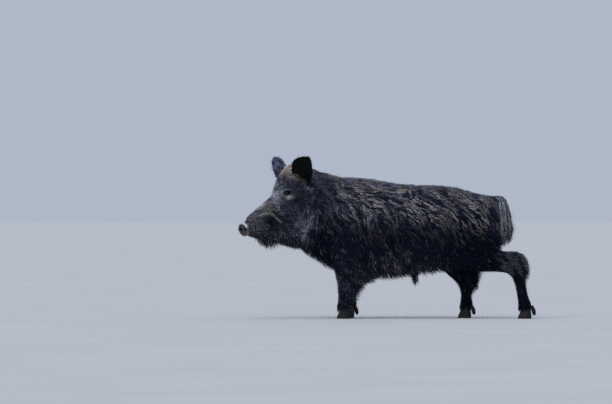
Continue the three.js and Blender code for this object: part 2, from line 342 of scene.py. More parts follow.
@dataclass(frozen=True)
class Anatomy:
    """Where the parts of the body lie, read from the CAD nodes."""

    RUMP = 0.664

    origin: Array  # the floor under the middle of the trunk
    head: HeadFrame

    @classmethod
    def from_frame(cls) -> Anatomy:
        """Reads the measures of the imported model.

        Returns:
            The measures.
        """
        low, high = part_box("trunk")
        origin = np.array([high.x - cls.RUMP, (low.y + high.y) / 2, 0.0])
        return cls(origin, HeadFrame.from_eyes())

    def body(self, points: Array) -> tuple[Array, Array, Array]:
        """Distance behind the trunk's middle, to its right, and height of rows of points."""
        away = points - self.origin
        return away[:, 0], away[:, 1], points[:, 2]

    def face_share(self, points: Array) -> Array:
        """How far each point belongs to the head rather than to the neck.

        Args:
            points: rows of points.

        Returns:
            Shares, 0 on the neck and 1 on the head.
        """
        forward, _, height = self.head.coords(points)
        reach = forward + 0.35 * (height - 0.62)
        inside = smooth(-0.03, 0.05, reach)
        x, _, _ = self.body(points)
        return inside * smooth(-0.36, -0.42, x)


@dataclass(frozen=True)
class CoatDepth:
    """How deep the hide lies under the tips of the coat, in metres, from place to place."""

    anatomy: Anatomy
    back: float = 26 * MM
    flank: float = 20 * MM
    belly: float = 15 * MM
    neck: float = 23 * MM
    limb: float = 10 * MM
    shank: float = 5 * MM
    foot: float = 2.5 * MM
    crown: float = 14 * MM
    cheek: float = 10 * MM
    brow: float = 6.5 * MM
    muzzle: float = 2.2 * MM

    def __call__(self, points: Array) -> Array:
        """The coat's depth at rows of points.

        Args:
            points: rows of points.

        Returns:
            The depths, in metres.
        """
        x, y, z = self.anatomy.body(points)
        trunk = mix(self.belly, self.flank, smooth(0.32, 0.48, z))
        trunk = mix(trunk, self.back, smooth(0.66, 0.79, z))
        trunk = mix(trunk, self.neck, smooth(-0.26, -0.40, x))
        limb = smooth(0.36, 0.26, z) * smooth(0.16, 0.05, np.abs(np.abs(y) - 0.105))
        belly_zone = smooth(-0.12, -0.06, x) * smooth(0.36, 0.28, x)
        limb = limb * (1.0 - belly_zone)
        trunk = mix(trunk, self.limb, limb)
        trailing = smooth(0.58, 0.70, x) * smooth(0.50, 0.43, z) * smooth(0.0, -0.04, y)
        trunk = mix(trunk, self.shank + 2 * MM, trailing)
        trunk = mix(trunk, self.shank, smooth(0.21, 0.16, z))
        trunk = mix(trunk, self.foot, smooth(0.085, 0.06, z))
        face = self.anatomy.face_share(points)
        forward, side, height = self.anatomy.head.coords(points)
        head = mix(self.cheek, self.brow, smooth(0.62, 0.72, height) * smooth(0.06, 0.15, forward))
        head = mix(head, self.crown, smooth(0.84, 0.89, height))
        head = mix(head, self.muzzle, smooth(0.25, 0.34, forward))
        beard = smooth(0.50, 0.46, height) * smooth(0.20, 0.25, forward) * smooth(0.40, 0.36, forward)
        head = mix(head, 12 * MM, beard)
        near_ear = np.exp(
            -((forward - 0.07) ** 2 + (np.abs(side) - 0.075) ** 2 + (height - 0.80) ** 2) / 0.045**2
        )
        head = mix(head, 3 * MM, np.clip(near_ear * 1.2, 0, 1))
        return mix(trunk, head, face)


# ---- The distance to the hide, in space ----


@dataclass(frozen=True)
class DistanceField:
    """Signed distance on a regular lattice, negative inside."""

    values: Array
    corner: Array  # place of the first value
    pitch: float  # spacing of the lattice

    def at(self, points: Array) -> Array:
        """The distance at rows of points, straight between the lattice's values.

        Args:
            points: rows of points.

        Returns:
            The distances.
        """
        q = (points - self.corner) / self.pitch
        top = np.array(self.values.shape) - 2
        cell = np.clip(np.floor(q).astype(np.int64), 0, top)
        part = np.clip(q - cell, 0.0, 1.0)
        flat = self.values.ravel()
        strides = np.array([self.values.shape[1] * self.values.shape[2], self.values.shape[2], 1])
        base = cell @ strides
        total = np.zeros(len(points))
        for bits, share in cell_corners(part):
            total += flat[base + bits @ strides] * share
        return total

    def slope(self, points: Array) -> Array:
        """Outward direction and steepness at rows of points.

        Args:
            points: rows of points.

        Returns:
            Rows of vectors, one long where the field is true.
        """
        step = self.pitch * 0.8
        parts = [(self.at(points + e) - self.at(points - e)) for e in np.eye(3) * step]
        return np.stack(parts, axis=1) / (2 * step)

    def settle(self, points: Array, height: Array | float, rounds: int = 2) -> Array:
        """Moves points straight in or out until they are that high over the hide.

        Args:
            points: rows of points.
            height: wanted height of each over the hide.
            rounds: how often the move is repeated.

        Returns:
            The moved points.
        """
        for _ in range(rounds):
            slope = self.slope(points)
            steep = np.maximum((slope**2).sum(1), 0.09)
            points = points - slope * ((self.at(points) - height) / steep)[:, None]
        return points

    def resampled(self, pitch: float) -> DistanceField:
        """The same field on a lattice of another spacing.

        Args:
            pitch: the new spacing.

        Returns:
            The new field.
        """
        reach = (np.array(self.values.shape) - 1) * self.pitch
        counts = np.floor(reach / pitch).astype(int) + 1
        axes = [np.arange(n) * pitch for n in counts]
        grid = np.stack(np.meshgrid(*axes, indexing="ij"), axis=-1).reshape(-1, 3) + self.corner
        return DistanceField(self.at(grid).reshape(counts), self.corner, pitch)

    def surface(self) -> tuple[Array, Array]:
        """Points and outward quads of the zero level.

        Returns:
            Rows of points and rows of four vertex numbers.
        """
        grid = vdb.FloatGrid(float(self.values.max()))
        grid.copyFromArray(self.values.astype(np.float32))
        grid.transform = vdb.createLinearTransform(voxelSize=self.pitch)
        points, quads = grid.convertToQuads(0.0)
        points = points.astype(float) + self.corner
        quads = quads.astype(np.int64)
        a, b, c = (points[quads[:, i]] for i in range(3))
        volume = (np.cross(b - a, c - a) * (a - self.corner)).sum()
        return points, quads if volume > 0 else quads[:, ::-1]


def blurred(values: Array, rounds: int) -> Array:
    """Softens a lattice of values with its neighbours, rounds times.

    Args:
        values: the lattice.
        rounds: how often neighbours are averaged.

    Returns:
        The softened lattice.
    """
    for _ in range(rounds):
        for axis in range(3):
            padded = np.moveaxis(values, axis, 0)
            out = padded.copy()
            out[1:-1] = 0.5 * padded[1:-1] + 0.25 * (padded[:-2] + padded[2:])
            values = np.moveaxis(out, 0, axis)
    return values


@dataclass(frozen=True)
class FleshField:
    """Turns the CAD nodes of flesh into one soft distance field, sunk by the coat's depth."""

    depth: CoatDepth
    pitch: float = 6 * MM
    band: int = 12
    close: float = 1.2 * MM
    body_blur: int = 7
    head_blur: int = 2
    reach: float = 0.066
    beyond: float = 10 * MM

    def build(self) -> DistanceField:
        """Works out the distance to the hide.

        Returns:
            The field, on a lattice round the whole animal.
        """
        points, triangles, _ = flesh_nodes()
        transform = vdb.createLinearTransform(voxelSize=self.pitch)
        rough = vdb.FloatGrid.createLevelSetFromPolygons(
            points.astype(np.float32),
            triangles=triangles.astype(np.uint32),
            transform=transform,
            halfWidth=3.0,
        )
        shell, quads = rough.convertToQuads(self.close)
        wide = vdb.FloatGrid.createLevelSetFromPolygons(
            shell, quads=quads, transform=transform, halfWidth=float(self.band)
        )
        low, high = wide.evalActiveVoxelBoundingBox()
        shape = tuple(h - l + 1 for l, h in zip(low, high))
        raw = np.full(shape, self.band * self.pitch, np.float32)
        wide.copyToArray(raw, ijk=low)
        corner = np.array(low) * self.pitch
        axes = [c + np.arange(n) * self.pitch for c, n in zip(corner, shape)]
        grid = np.stack(np.meshgrid(*axes, indexing="ij"), axis=-1).reshape(-1, 3)
        near = (np.abs(raw) < self.reach).ravel()
        soft = blurred(raw, self.head_blur)
        face = np.zeros(raw.size)
        face[near] = self.depth.anatomy.face_share(grid[near])
        values = mix(blurred(soft, self.body_blur - self.head_blur).ravel(), soft.ravel(), face)
        values[near] += self.depth(grid[near])
        values[~near] += self.beyond
        return DistanceField(values.reshape(shape), corner, self.pitch)


# ---- Mesh helpers ----


def shade_smooth(mesh: Mesh) -> Mesh:
    """The mesh, with every face shaded smooth."""
    mesh.polygons.foreach_set("use_smooth", np.ones(len(mesh.polygons), bool))
    return mesh


def mesh_of(bm: bmesh.types.BMesh, name: str) -> Mesh:
    """A new mesh from an edit mesh, which it frees.

    Args:
        bm: the edit mesh.
        name: the new mesh's name.

    Returns:
        The mesh.
    """
    mesh = bpy.data.meshes.new(name)
    bm.to_mesh(mesh)
    bm.free()
    return shade_smooth(mesh)


def make_object(name: str, data: bpy.types.ID) -> bpy.types.Object:
    """Links a mesh, lamp or camera into the scene as an object.

    Args:
        name: the object's name.
        data: its mesh, lamp or camera.

    Returns:
        The object.
    """
    made = bpy.data.objects.new(name, data)
    bpy.context.scene.collection.objects.link(made)
    return made


def dressed(name: str, mesh: Mesh, slot: str, finish: Material, *replaced: str) -> bpy.types.Object:
    """Makes a mesh a piece of the animal.

    Args:
        name: the piece's name.
        mesh: its mesh.
        slot: not used.
        finish: its material.
        replaced: the CAD nodes that it stands for.

    Returns:
        The piece.
    """
    piece = make_object(name, mesh)
    mesh.materials.clear()
    mesh.materials.append(finish)
    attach(piece, BODY)
    if replaced:
        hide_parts(*replaced)
    LOG.info("%s: %d faces", name, len(mesh.polygons))
    return piece


def mesh_from_arrays(name: str, points: Array, corners: Array, starts: Array) -> Mesh:
    """A smooth-shaded mesh from flat arrays.

    Args:
        name: the mesh's name.
        points: rows of points.
        corners: vertex number of every face corner.
        starts: first corner of every face.

    Returns:
        The mesh.
    """
    mesh = bpy.data.meshes.new(name)
    mesh.vertices.add(len(points))
    mesh.vertices.foreach_set("co", np.ascontiguousarray(points, np.float32).ravel())
    mesh.loops.add(len(corners))
    mesh.loops.foreach_set("vertex_index", np.ascontiguousarray(corners, np.int32))
    mesh.polygons.add(len(starts))
    mesh.polygons.foreach_set("loop_start", np.ascontiguousarray(starts, np.int32))
    mesh.update(calc_edges=True)
    return shade_smooth(mesh)


def paint(mesh: Mesh, colours: Array) -> None:
    """Stores one linear colour for each vertex as the mesh's tone.

    Args:
        mesh: the mesh.
        colours: one row for each vertex.
    """
    layer = mesh.color_attributes.new(TONE, "FLOAT_COLOR", "POINT")
    full = np.ones((len(colours), 4), np.float32)
    full[:, :3] = colours
    layer.data.foreach_set("color", full.ravel())


def unwrap(mesh: Mesh, places: Array) -> None:
    """Stores the place of every face corner on the mesh's map."""
    mesh.uv_layers.new(name=BAKE_MAP).data.foreach_set("uv", places.astype(np.float32).ravel())


def spread(values: Array, edges: Array, rounds: int, pull: float = 0.6) -> Array:
    """Evens values out between neighbouring vertices.

    Args:
        values: one row for each vertex.
        edges: rows of two vertex numbers.
        rounds: how often neighbours are averaged.
        pull: share of the neighbours' mean in each round.

    Returns:
        The softened values.
    """
    count = len(values)
    ends = np.concatenate([edges[:, 0], edges[:, 1]])
    others = np.concatenate([edges[:, 1], edges[:, 0]])
    degree = np.maximum(np.bincount(ends, minlength=count), 1)
    out = values.reshape(count, -1).astype(float)
    for _ in range(rounds):
        for column in range(out.shape[1]):
            total = np.bincount(ends, out[others, column], minlength=count)
            out[:, column] = mix(out[:, column], total / degree, np.float64(pull))
    return out.reshape(values.shape)


def grid_quads(rows: int, columns: int, wrap_rows: bool = False) -> Array:
    """Quads of a tube of rings: rows of rings, each closed, of columns points.

    Args:
        rows: number of rings.
        columns: points in each ring.
        wrap_rows: whether the last ring joins the first.

    Returns:
        Rows of four vertex numbers.
    """
    i, j = np.meshgrid(np.arange(rows if wrap_rows else rows - 1), np.arange(columns), indexing="ij")
    i, j = i.ravel(), j.ravel()
    up, over = (i + 1) % rows, (j + 1) % columns
    return np.stack([i * columns + j, i * columns + over, up * columns + over, up * columns + j], 1)


@dataclass
class Shell:
    """A closed surface of rings, as points and face lists."""

    points: Array
    faces: list[list[int]]

    @classmethod
    def tube(cls, rings: Array) -> Shell:
        """A tube through rings of points with both ends closed by a fan.

        Args:
            rings: an array of rings, each of the same number of points.

        Returns:
            The closed shell, its faces pointing outwards.
        """
        rows, columns, _ = rings.shape
        ends = np.stack([rings[0].mean(0), rings[-1].mean(0)])
        points = np.concatenate([rings.reshape(-1, 3), ends])
        faces = grid_quads(rows, columns).tolist()
        first, last = rows * columns, rows * columns + 1
        for j in range(columns):
            over = (j + 1) % columns
            faces.append([over, j, first])
            faces.append([(rows - 1) * columns + j, (rows - 1) * columns + over, last])
        return cls(points, faces).turned_out()

    @classmethod
    def ring(cls, rings: Array) -> Shell:
        """A closed torus-like shell through rings that come back to the first.

        Args:
            rings: an array of rings, each of the same number of points.

        Returns:
            The closed shell, its faces pointing outwards.
        """
        rows, columns, _ = rings.shape
        faces = grid_quads(rows, columns, wrap_rows=True).tolist()
        return cls(rings.reshape(-1, 3), faces).turned_out()

    def turned_out(self) -> Shell:
        """The shell with its faces pointing outwards.

        Returns:
            The shell itself.
        """
        total = 0.0
        for face in self.faces:
            a = self.points[face[0]]
            for k in range(1, len(face) - 1):
                b, c = self.points[face[k]], self.points[face[k + 1]]
                total += a @ np.cross(b, c)
        if total < 0:
            self.faces = [face[::-1] for face in self.faces]
        return self

    def mesh(self, name: str) -> Mesh:
        """The shell as a smooth-shaded mesh.

        Args:
            name: the mesh's name.

        Returns:
            The mesh.
        """
        sizes = np.array([len(f) for f in self.faces])
        starts = np.concatenate([[0], np.cumsum(sizes)[:-1]])
        corners = np.concatenate([np.array(f) for f in self.faces])
        return mesh_from_arrays(name, self.points, corners, starts)


def rotation(axis: int, degrees: float) -> Array:
    """The matrix of a turn about the X, Y or Z axis (0, 1 or 2).

    Args:
        axis: which axis.
        degrees: the turn.

    Returns:
        The matrix.
    """
    turn = math.radians(degrees)
    c, s = math.cos(turn), math.sin(turn)
    i, j = [(1, 2), (2, 0), (0, 1)][axis]
    out = np.eye(3)
    out[i, i], out[i, j], out[j, i], out[j, j] = c, -s, s, c
    return out


# ---- The hide ----


@dataclass
class Patch:
    """A stretch of hide with the facts that the coat needs at each of its vertices."""

    mesh: Mesh
    part: Part
    lie: Array  # the way the hair points, before it is laid on the surface
    inner: Array  # 1 on the inside of an ear
    rim: Array  # 1 on the rim of an ear


@dataclass(frozen=True)
class Ear:
    """One ear, a leaf-shaped cup of skin rolled into a funnel at its root."""

    side: Side
    opened: float  # degrees that the hollow turns to its own side
    out: float  # degrees that the tip leans outwards
    tip_forward: float  # degrees that the tip leans forward
    tip_shift: float  # shift of the tip along the ear's width, outwards
    root_shift: float  # shift of the root along the ear's width, outwards
    length: float = 191 * MM
    half_width: float = 64 * MM
    forward: float = 78 * MM
    aside: float = 72 * MM
    height: float = 790 * MM
    inset: float = 2 * MM
    root: float = -0.2
    rows: int = 30
    columns: int = 15

    def ring_at(self, t: float, shares: Array) -> tuple[Array, Array]:
        """Back and front of the ear at share t of its length, in the ear's own axes.

        Args:
            t: share of the ear's length.
            shares: places across it, from -1 to 1.

        Returns:
            Rows of points of its back and of its front.
        """
        held = max(t, 0.0)
        wide = 0.30 + 0.70 * math.sin(min(held / 0.52, 1.0) * math.pi / 2)
        taper = math.sqrt(max(1.0 - max((held - 0.5) / 0.5, 0.0) ** 3.2, 0.012))
        reach = self.half_width * wide * taper
        cup = (44 - 32 * held) * MM * taper
        thick = (8.5 - 5.5 * held) * MM
        shift = self.tip_shift * (1.0 - taper) + self.root_shift * (1.0 - held) ** 2
        shift -= 40 * MM * float(smooth(0.10, -0.20, np.float64(t)))

        def at(share: Array, sink: Array | float) -> Array:
            """Points at some shares of the width, sunk from the back of the ear."""
            y = self.side.value * (shift + share * reach)
            return columns_of(cup * (1.0 - share**2) - sink, y, t * self.length)

        ridge = 1.3 * MM * np.cos(shares * 9.0) * (1 - held) * smooth(1.0, 0.7, np.abs(shares))
        sink = self.inset + thick * (1.12 - 0.42 * shares**2) - ridge
        return at(shares, self.inset), at(shares * 0.94, sink)

    def patch(self, head: HeadFrame) -> Patch:
        """The ear's skin, standing on the head.

        Args:
            head: the head's axes.

        Returns:
            The skin.
        """
        shares = np.sin(np.linspace(-1, 1, self.columns) * math.pi / 2)
        stations = np.concatenate(
            [np.linspace(self.root, 0.86, self.rows - 6), 1 - 0.14 * np.linspace(0.8, 0.0, 6) ** 1.6]
        )
        rings, inner, rim = [], [], []
        for t in stations:
            back, front = self.ring_at(float(t), shares)
            rings.append(np.concatenate([back, front[::-1]]))
            inner.append(np.concatenate([np.zeros(len(back)), np.ones(len(front))]))
            edge = smooth(0.80, 0.97, np.abs(shares)) + smooth(0.90, 1.0, np.full(len(shares), t))
            edge = np.clip(edge, 0, 1) * (t > 0.05)
            rim.append(np.concatenate([edge, edge[::-1]]))
        rings = np.array(rings)
        turn = rotation(1, -self.tip_forward)
        turn = turn @ rotation(0, -self.side.value * self.out)
        turn = turn @ rotation(2, -self.side.value * self.opened)
        local = rings @ turn.T + np.array([-self.forward, self.side.value * self.aside, self.height])
        placed = head.place(-local[..., 0], local[..., 1], local[..., 2])
        along = np.gradient(placed, axis=0)
        outward = np.concatenate([np.zeros(self.columns), shares[::-1]])
        sideways = np.gradient(placed, axis=1)
        lean = np.array(inner)[..., None] * -outward[None, :, None]
        lie = unit(unit(along) + 0.9 * lean * unit(sideways))
        shell = Shell.tube(placed)
        pad = 2
        flat_lie = np.concatenate([lie.reshape(-1, 3), lie[:1, 0].repeat(pad, 0)])
        flat_inner = np.concatenate([np.array(inner).ravel(), np.zeros(pad)])
        flat_rim = np.concatenate([np.array(rim).ravel(), np.zeros(pad)])
        mesh = shell.mesh(f"ear_{self.side.label}")
        return Patch(mesh, Part.EAR, flat_lie, flat_inner, flat_rim)


@dataclass(frozen=True)
class Dock:
    """The tail's thin fleshy core, and the outline that its tassel fills."""

    anatomy: Anatomy
    # Sections from the root down: height, distance behind the trunk's middle, half length, half width.
    heights: tuple[float, ...] = (0.730, 0.706, 0.656, 0.593, 0.529, 0.475, 0.430)
    middles: tuple[float, ...] = (0.664, 0.692, 0.710, 0.719, 0.725, 0.727, 0.726)
    halves: tuple[float, ...] = (0.026, 0.036, 0.042, 0.047, 0.050, 0.044, 0.016)
    widths: tuple[float, ...] = (0.016, 0.022, 0.028, 0.031, 0.029, 0.023, 0.008)
    low: float = 0.575
    top_radius: float = 0.017
    end_radius: float = 0.006

    def section(self, height: Array) -> tuple[Array, Array, Array]:
        """Middle of the tail and its half sizes at some heights.

        Args:
            height: the heights.

        Returns:
            Distances behind the trunk's middle, half lengths and half widths.
        """
        order = slice(None, None, -1)
        known = self.heights[order]
        middle = np.interp(height, known, self.middles[order])
        half = np.interp(height, known, self.halves[order])
        width = np.interp(height, known, self.widths[order])
        return middle, half, width

    def patch(self) -> Patch:
        """The core's skin, from inside the rump down.

        Returns:
            The skin.
        """
        heights = np.linspace(0.735, self.low, 16)
        middle, _, _ = self.section(heights)
        middle = middle - 0.012 * smooth(0.66, 0.735, heights)
        radius = self.end_radius + (self.top_radius - self.end_radius) * smooth(self.low, 0.72, heights)
        radius[-1] *= 0.5
        turn = circle(14)
        rings = np.zeros((len(heights), len(turn), 3))
        rings[..., 0] = self.anatomy.origin[0] + middle[:, None] + radius[:, None] * np.cos(turn)
        rings[..., 1] = self.anatomy.origin[1] + radius[:, None] * np.sin(turn)
        rings[..., 2] = heights[:, None]
        shell = Shell.tube(rings)
        count = len(shell.points)
        lie = np.tile([0.1, 0.0, -1.0], (count, 1))
        return Patch(shell.mesh("dock"), Part.DOCK, lie, np.zeros(count), np.zeros(count))


@dataclass(frozen=True)
class EyeSocket:
    """Place and measures of one eye, with the lids round it."""

    side: Side
    centre: Array
    gaze: Array  # unit vector out of the eye
    corner: Array  # unit vector towards the outer corner of the lids
    upright: Array  # unit vector across the opening, upwards
    radius: float = 12.5 * MM
    half_length: float = 12.0 * MM
    upper: float = 6.4 * MM
    lower: float = 5.0 * MM

    @classmethod
    def find(cls, side: Side, head: HeadFrame, field: DistanceField) -> EyeSocket:
        """Sets the eye into the hide where the CAD eye lies.

        Args:
            side: which eye.
            head: the head's axes.
            field: distance to the hide.

        Returns:
            The eye.
        """
        node = box_centre(f"eye_{side.label}") - head.ahead * 5 * MM
        gaze = unit(head.turn(0.40, side.value * 0.90, 0.10))
        outer = unit(head.turn(-0.86, side.value * 0.2, 0.16))
        upright = unit(np.cross(gaze, outer))
        if upright[2] < 0:
            upright = -upright
        outer = unit(np.cross(gaze, upright))
        if outer @ head.ahead > 0:
            outer = -outer
        skin = field.settle((node + gaze * 0.01)[None], 0.0, rounds=6)[0]
        level = (skin - node) @ gaze
        centre = node + gaze * (level - cls.radius + 1.2 * MM)
        return cls(side, centre, gaze, outer, upright)

    def local(self, points: Array) -> tuple[Array, Array, Array]:
        """Towards the outer corner, up and out of the eye, from its centre."""
        away = points - self.centre
        return away @ self.corner, away @ self.upright, away @ self.gaze

    def distance(self, points: Array) -> Array:
        """Distance from the eye's axis, large on the head's other side."""
        along, up, out = self.local(points)
        return np.hypot(along, up) + np.where(out < -0.03, 1.0, 0.0)

    def lids(self, field: DistanceField) -> Patch:
        """Both lids as one ring of skin, thick at their margins and folded behind them.

        Args:
            field: distance to the hide.

        Returns:
            The skin.
        """
        turns = circle(56)
        c, s = np.cos(turns), np.sin(turns)
        tall = np.where(s > 0, self.upper, self.lower)
        inner_x = self.half_length * c
        inner_y = tall * s * np.abs(s) ** 0.15
        inner_y = inner_y - 1.0 * MM * c
        outer_x, outer_y = 25 * MM * c, 21 * MM * s
        levels = [
            # share of the way out, height over the ball or hide, share of the hide's own height
            (0.00, 0.5, 0.0),
            (0.03, 2.0, 0.0),
            (0.10, 2.9, 0.0),
            (0.20, 2.5, 0.1),
            (0.28, 1.5, 0.3),
            (0.38, 2.9, 0.6),
            (0.50, 2.6, 0.9),
            (0.62, 0.9, 1.0),
            (0.80, -0.8, 1.0),
            (1.00, -3.0, 1.0),
        ]
        top = []
        for share, height, settled in levels:
            x = mix(inner_x, outer_x, np.float64(share))
            y = mix(inner_y, outer_y, np.float64(share))
            out = np.sqrt(np.maximum(self.radius**2 - x**2 - y**2, (5 * MM) ** 2))
            flat = self.centre + x[:, None] * self.corner + y[:, None] * self.upright
            ball = flat + (out + height * MM)[:, None] * self.gaze
            skin = field.settle(flat + self.radius * self.gaze, height * MM, rounds=4)
            top.append(mix(ball, skin, np.full(len(ball), settled)))
        top = np.array(top)
        under = top[::-1] - self.gaze * 1.8 * MM
        shell = Shell.ring(np.concatenate([top, under]))
        away = shell.points - self.centre
        lie = away - (away @ self.gaze)[:, None] * self.gaze
        count = len(shell.points)
        mesh = shell.mesh(f"lids_{self.side.label}")
        return Patch(mesh, Part.LID, unit(lie) + 1.2 * self.corner, np.zeros(count), np.zeros(count))


@dataclass(frozen=True)
class FaceSculpt:
    """Folds, lips, brows and sockets, as heights added to the hide of the head."""

    head: HeadFrame
    sockets: tuple[EyeSocket, ...]
    mouth_back: float = 0.236
    mouth_front: float = 0.452

    def eye_distance(self, points: Array) -> Array:
        """Distance of rows of points from the nearer eye's axis."""
        return np.min([socket.distance(points) for socket in self.sockets], axis=0)

    def mouth_height(self, forward: Array) -> Array:
        """Height of the line between the lips."""
        return 0.536 - (forward - 0.240) * 0.104 + 0.010 * smooth(0.262, 0.236, forward)

    def ridges(self, points: Array) -> tuple[Array, Array]:
        """Ridges of the muzzle's skin, curved round the snout disc, from -1 to 1, and their strength.

        Args:
            points: rows of points.

        Returns:
            The ridges and their strength.
        """
        forward, _, height = self.head.coords(points)
        around = np.hypot(forward - 0.475, (height - 0.505) * 0.85)
        wander = Noise(24 * MM, 5)(points) * 9 + Noise(9 * MM, 7)(points) * 3.0
        zone = smooth(0.310, 0.35, forward) * smooth(0.452, 0.436, forward)
        zone = zone * smooth(-0.030, 0.008, height - self.mouth_height(forward))
        broken = smooth(0.20, 0.60, Noise(13 * MM, 6)(points))
        return np.sin(around / (13.5 * MM) * 2 * math.pi + wander), zone * (0.25 + 0.85 * broken)

    def wrinkles(self, points: Array) -> Array:
        """Height of the muzzle's ridges and of the creases across the bridge.

        Args:
            points: rows of points.

        Returns:
            Heights, in metres.
        """
        forward, _, height = self.head.coords(points)
        ridges, zone = self.ridges(points)
        phase = (forward * 0.8 + height * 0.6) / (13 * MM) * 2 * math.pi
        bridge = smooth(0.225, 0.25, forward) * smooth(0.35, 0.31, forward) * smooth(0.60, 0.64, height)
        return 0.8 * MM * ridges * zone + 0.6 * MM * np.sin(phase + 7 * Noise(26 * MM, 5)(points)) * bridge

    def push(self, points: Array) -> Array:
        """Height to add along the normal at rows of points of the head.

        Args:
            points: rows of points.

        Returns:
            Heights, in metres.
        """
        forward, _, height = self.head.coords(points)
        gap = height - self.mouth_height(forward)
        lips = smooth(self.mouth_back - 0.006, self.mouth_back + 0.010, forward)
        lips = lips * smooth(self.mouth_front, self.mouth_front - 0.006, forward)
        out = lips * (
            -3.6 * MM * bell(gap, 0.0, 2.8 * MM)
            + 2.0 * MM * bell(gap, 8 * MM, 6 * MM)
            + 1.0 * MM * bell(gap, -9 * MM, 6 * MM)
        )
        out += 2.5 * MM * bell(forward, 0.345, 0.022) * bell(height, 0.556, 0.020)
        out += 7 * MM * bell(forward, 0.405, 0.030) * smooth(0.575, 0.605, height)
        out += 3.5 * MM * bell(forward, 0.150, 0.050) * bell(height, 0.660, 0.032)
        trough = (forward - 0.255) * 0.83 + (height - 0.672) * 0.56
        slant = -(forward - 0.255) * 0.56 + (height - 0.672) * 0.83
        out -= 3.5 * MM * bell(trough, 0.0, 0.052) * bell(slant + 0.02, 0.0, 0.016)
        out -= 2.5 * MM * bell(forward, 0.205, 0.030) * bell(height, 0.575, 0.022)
        for socket in self.sockets:
            along, up, away = socket.local(points)
            near = np.where(away > -0.03, 1.0, 0.0)
            ridge = bell(np.hypot((along + 4 * MM) / 1.5, up - 2 * MM), 19 * MM, 5.0 * MM)
            brow = ridge * smooth(-0.004, 0.010, up) * near
            out += 4.2 * MM * brow
            pouch = bell(np.hypot(along / 1.6, up + 3 * MM), 14 * MM, 4.0 * MM) * smooth(0.0, -0.008, up)
            out += 2.0 * MM * pouch * near
            out -= 8.5 * MM * smooth(17 * MM, 9 * MM, np.hypot(along * 0.9, up)) * near
        return out + self.wrinkles(points)


@dataclass
class Pelt:
    """The whole hide as arrays, ready for hair to be set in it."""

    mesh: Mesh
    points: Array
    normals: Array
    edges: Array
    weights: Array  # for each vertex, how much it belongs to each Part
    lie: Array  # unit vectors along the surface, the way the hair points
    inner: Array
    rim: Array
    triangles: Array
    areas: Array
    field: DistanceField

    def share(self, *parts: Part) -> Array:
        """How much each vertex belongs to any of some parts."""
        return sum(self.weights[:, p.value] for p in parts)


@dataclass(frozen=True)
class Lie:
    """The lie of the coat: which way the hair points on each part of the body."""

    anatomy: Anatomy

    def trunk(self, points: Array) -> Array:
        """Back along the topline, steeper down the flanks, straight down behind the rump.

        Args:
            points: rows of points.

        Returns:
            Rows of directions.
        """
        x, y, z = self.anatomy.body(points)
        low = smooth(0.80, 0.42, z)
        slope = np.radians(14 + 42 * low - 12 * smooth(0.25, 0.55, x) * (1 - low * 0.5))
        slope = slope + np.radians(18) * smooth(-0.05, -0.28, x) * smooth(0.80, 0.60, z)
        slope = slope + np.radians(38) * smooth(0.60, 0.66, x)
        lean = 0.22 * np.sign(y) * smooth(0.70, 0.80, z) * smooth(0.0, 0.03, np.abs(y))
        return columns_of(np.cos(slope), lean, -np.sin(slope))

    def neck(self, points: Array) -> Array:
        """Back over the crest, then down the side of the neck and the throat.

        Args:
            points: rows of points.

        Returns:
            Rows of directions.
        """
        _, _, z = self.anatomy.body(points)
        slope = np.radians(16 + 56 * smooth(0.86, 0.62, z))
        return columns_of(np.cos(slope), 0.12, -np.sin(slope))

    def head(self, points: Array) -> Array:
        """From the nose back, up over the brow and down over the cheeks.

        Args:
            points: rows of points.

        Returns:
            Rows of directions.
        """
        forward, side, height = self.anatomy.head.coords(points)
        down = 0.15 + 0.75 * smooth(0.70, 0.52, height)
        down = down + 2.2 * smooth(0.17, 0.08, forward) * smooth(0.74, 0.62, height)
        down = down + 1.0 * smooth(0.52, 0.46, height)
        up = 0.9 * smooth(0.80, 0.86, height) + 0.35 * smooth(0.66, 0.74, height)
        aside = 0.25 * np.sign(side) * smooth(0.70, 0.60, height)
        head = self.anatomy.head
        return aside[:, None] * head.across - head.ahead + (up - down)[:, None] * UP

    def field(self, points: Array) -> dict[Part, Array]:
        """The wanted direction of hair for each part, at rows of points.

        Args:
            points: rows of points.

        Returns:
            For each part, rows of directions.
        """
        count = len(points)

        def steady(x: float, y: float, z: float) -> Array:
            """One direction for every point."""
            return np.tile([x, y, z], (count, 1))

        return {
            Part.TRUNK: self.trunk(points),
            Part.NECK: self.neck(points),
            Part.HEAD: self.head(points),
            Part.FORE_UPPER: steady(0.42, 0.0, -1.0),
            Part.FORE_LOWER: steady(0.20, 0.0, -1.0),
            Part.THIGH_LEFT: steady(0.85, 0.0, -0.60),
            Part.THIGH_RIGHT: steady(0.60, 0.0, -0.85),
            Part.SHANK_LEFT: steady(1.0, 0.0, -0.28),
            Part.SHANK_RIGHT: steady(0.50, 0.0, -0.86),
            Part.CANNON_LEFT: steady(0.22, 0.0, -1.0),
            Part.CANNON_RIGHT: steady(0.05, 0.0, -1.0),
            Part.EAR: steady(0.0, 0.0, 1.0),
            Part.DOCK: steady(0.1, 0.0, -1.0),
            Part.LID: steady(1.0, 0.0, 0.0),
        }


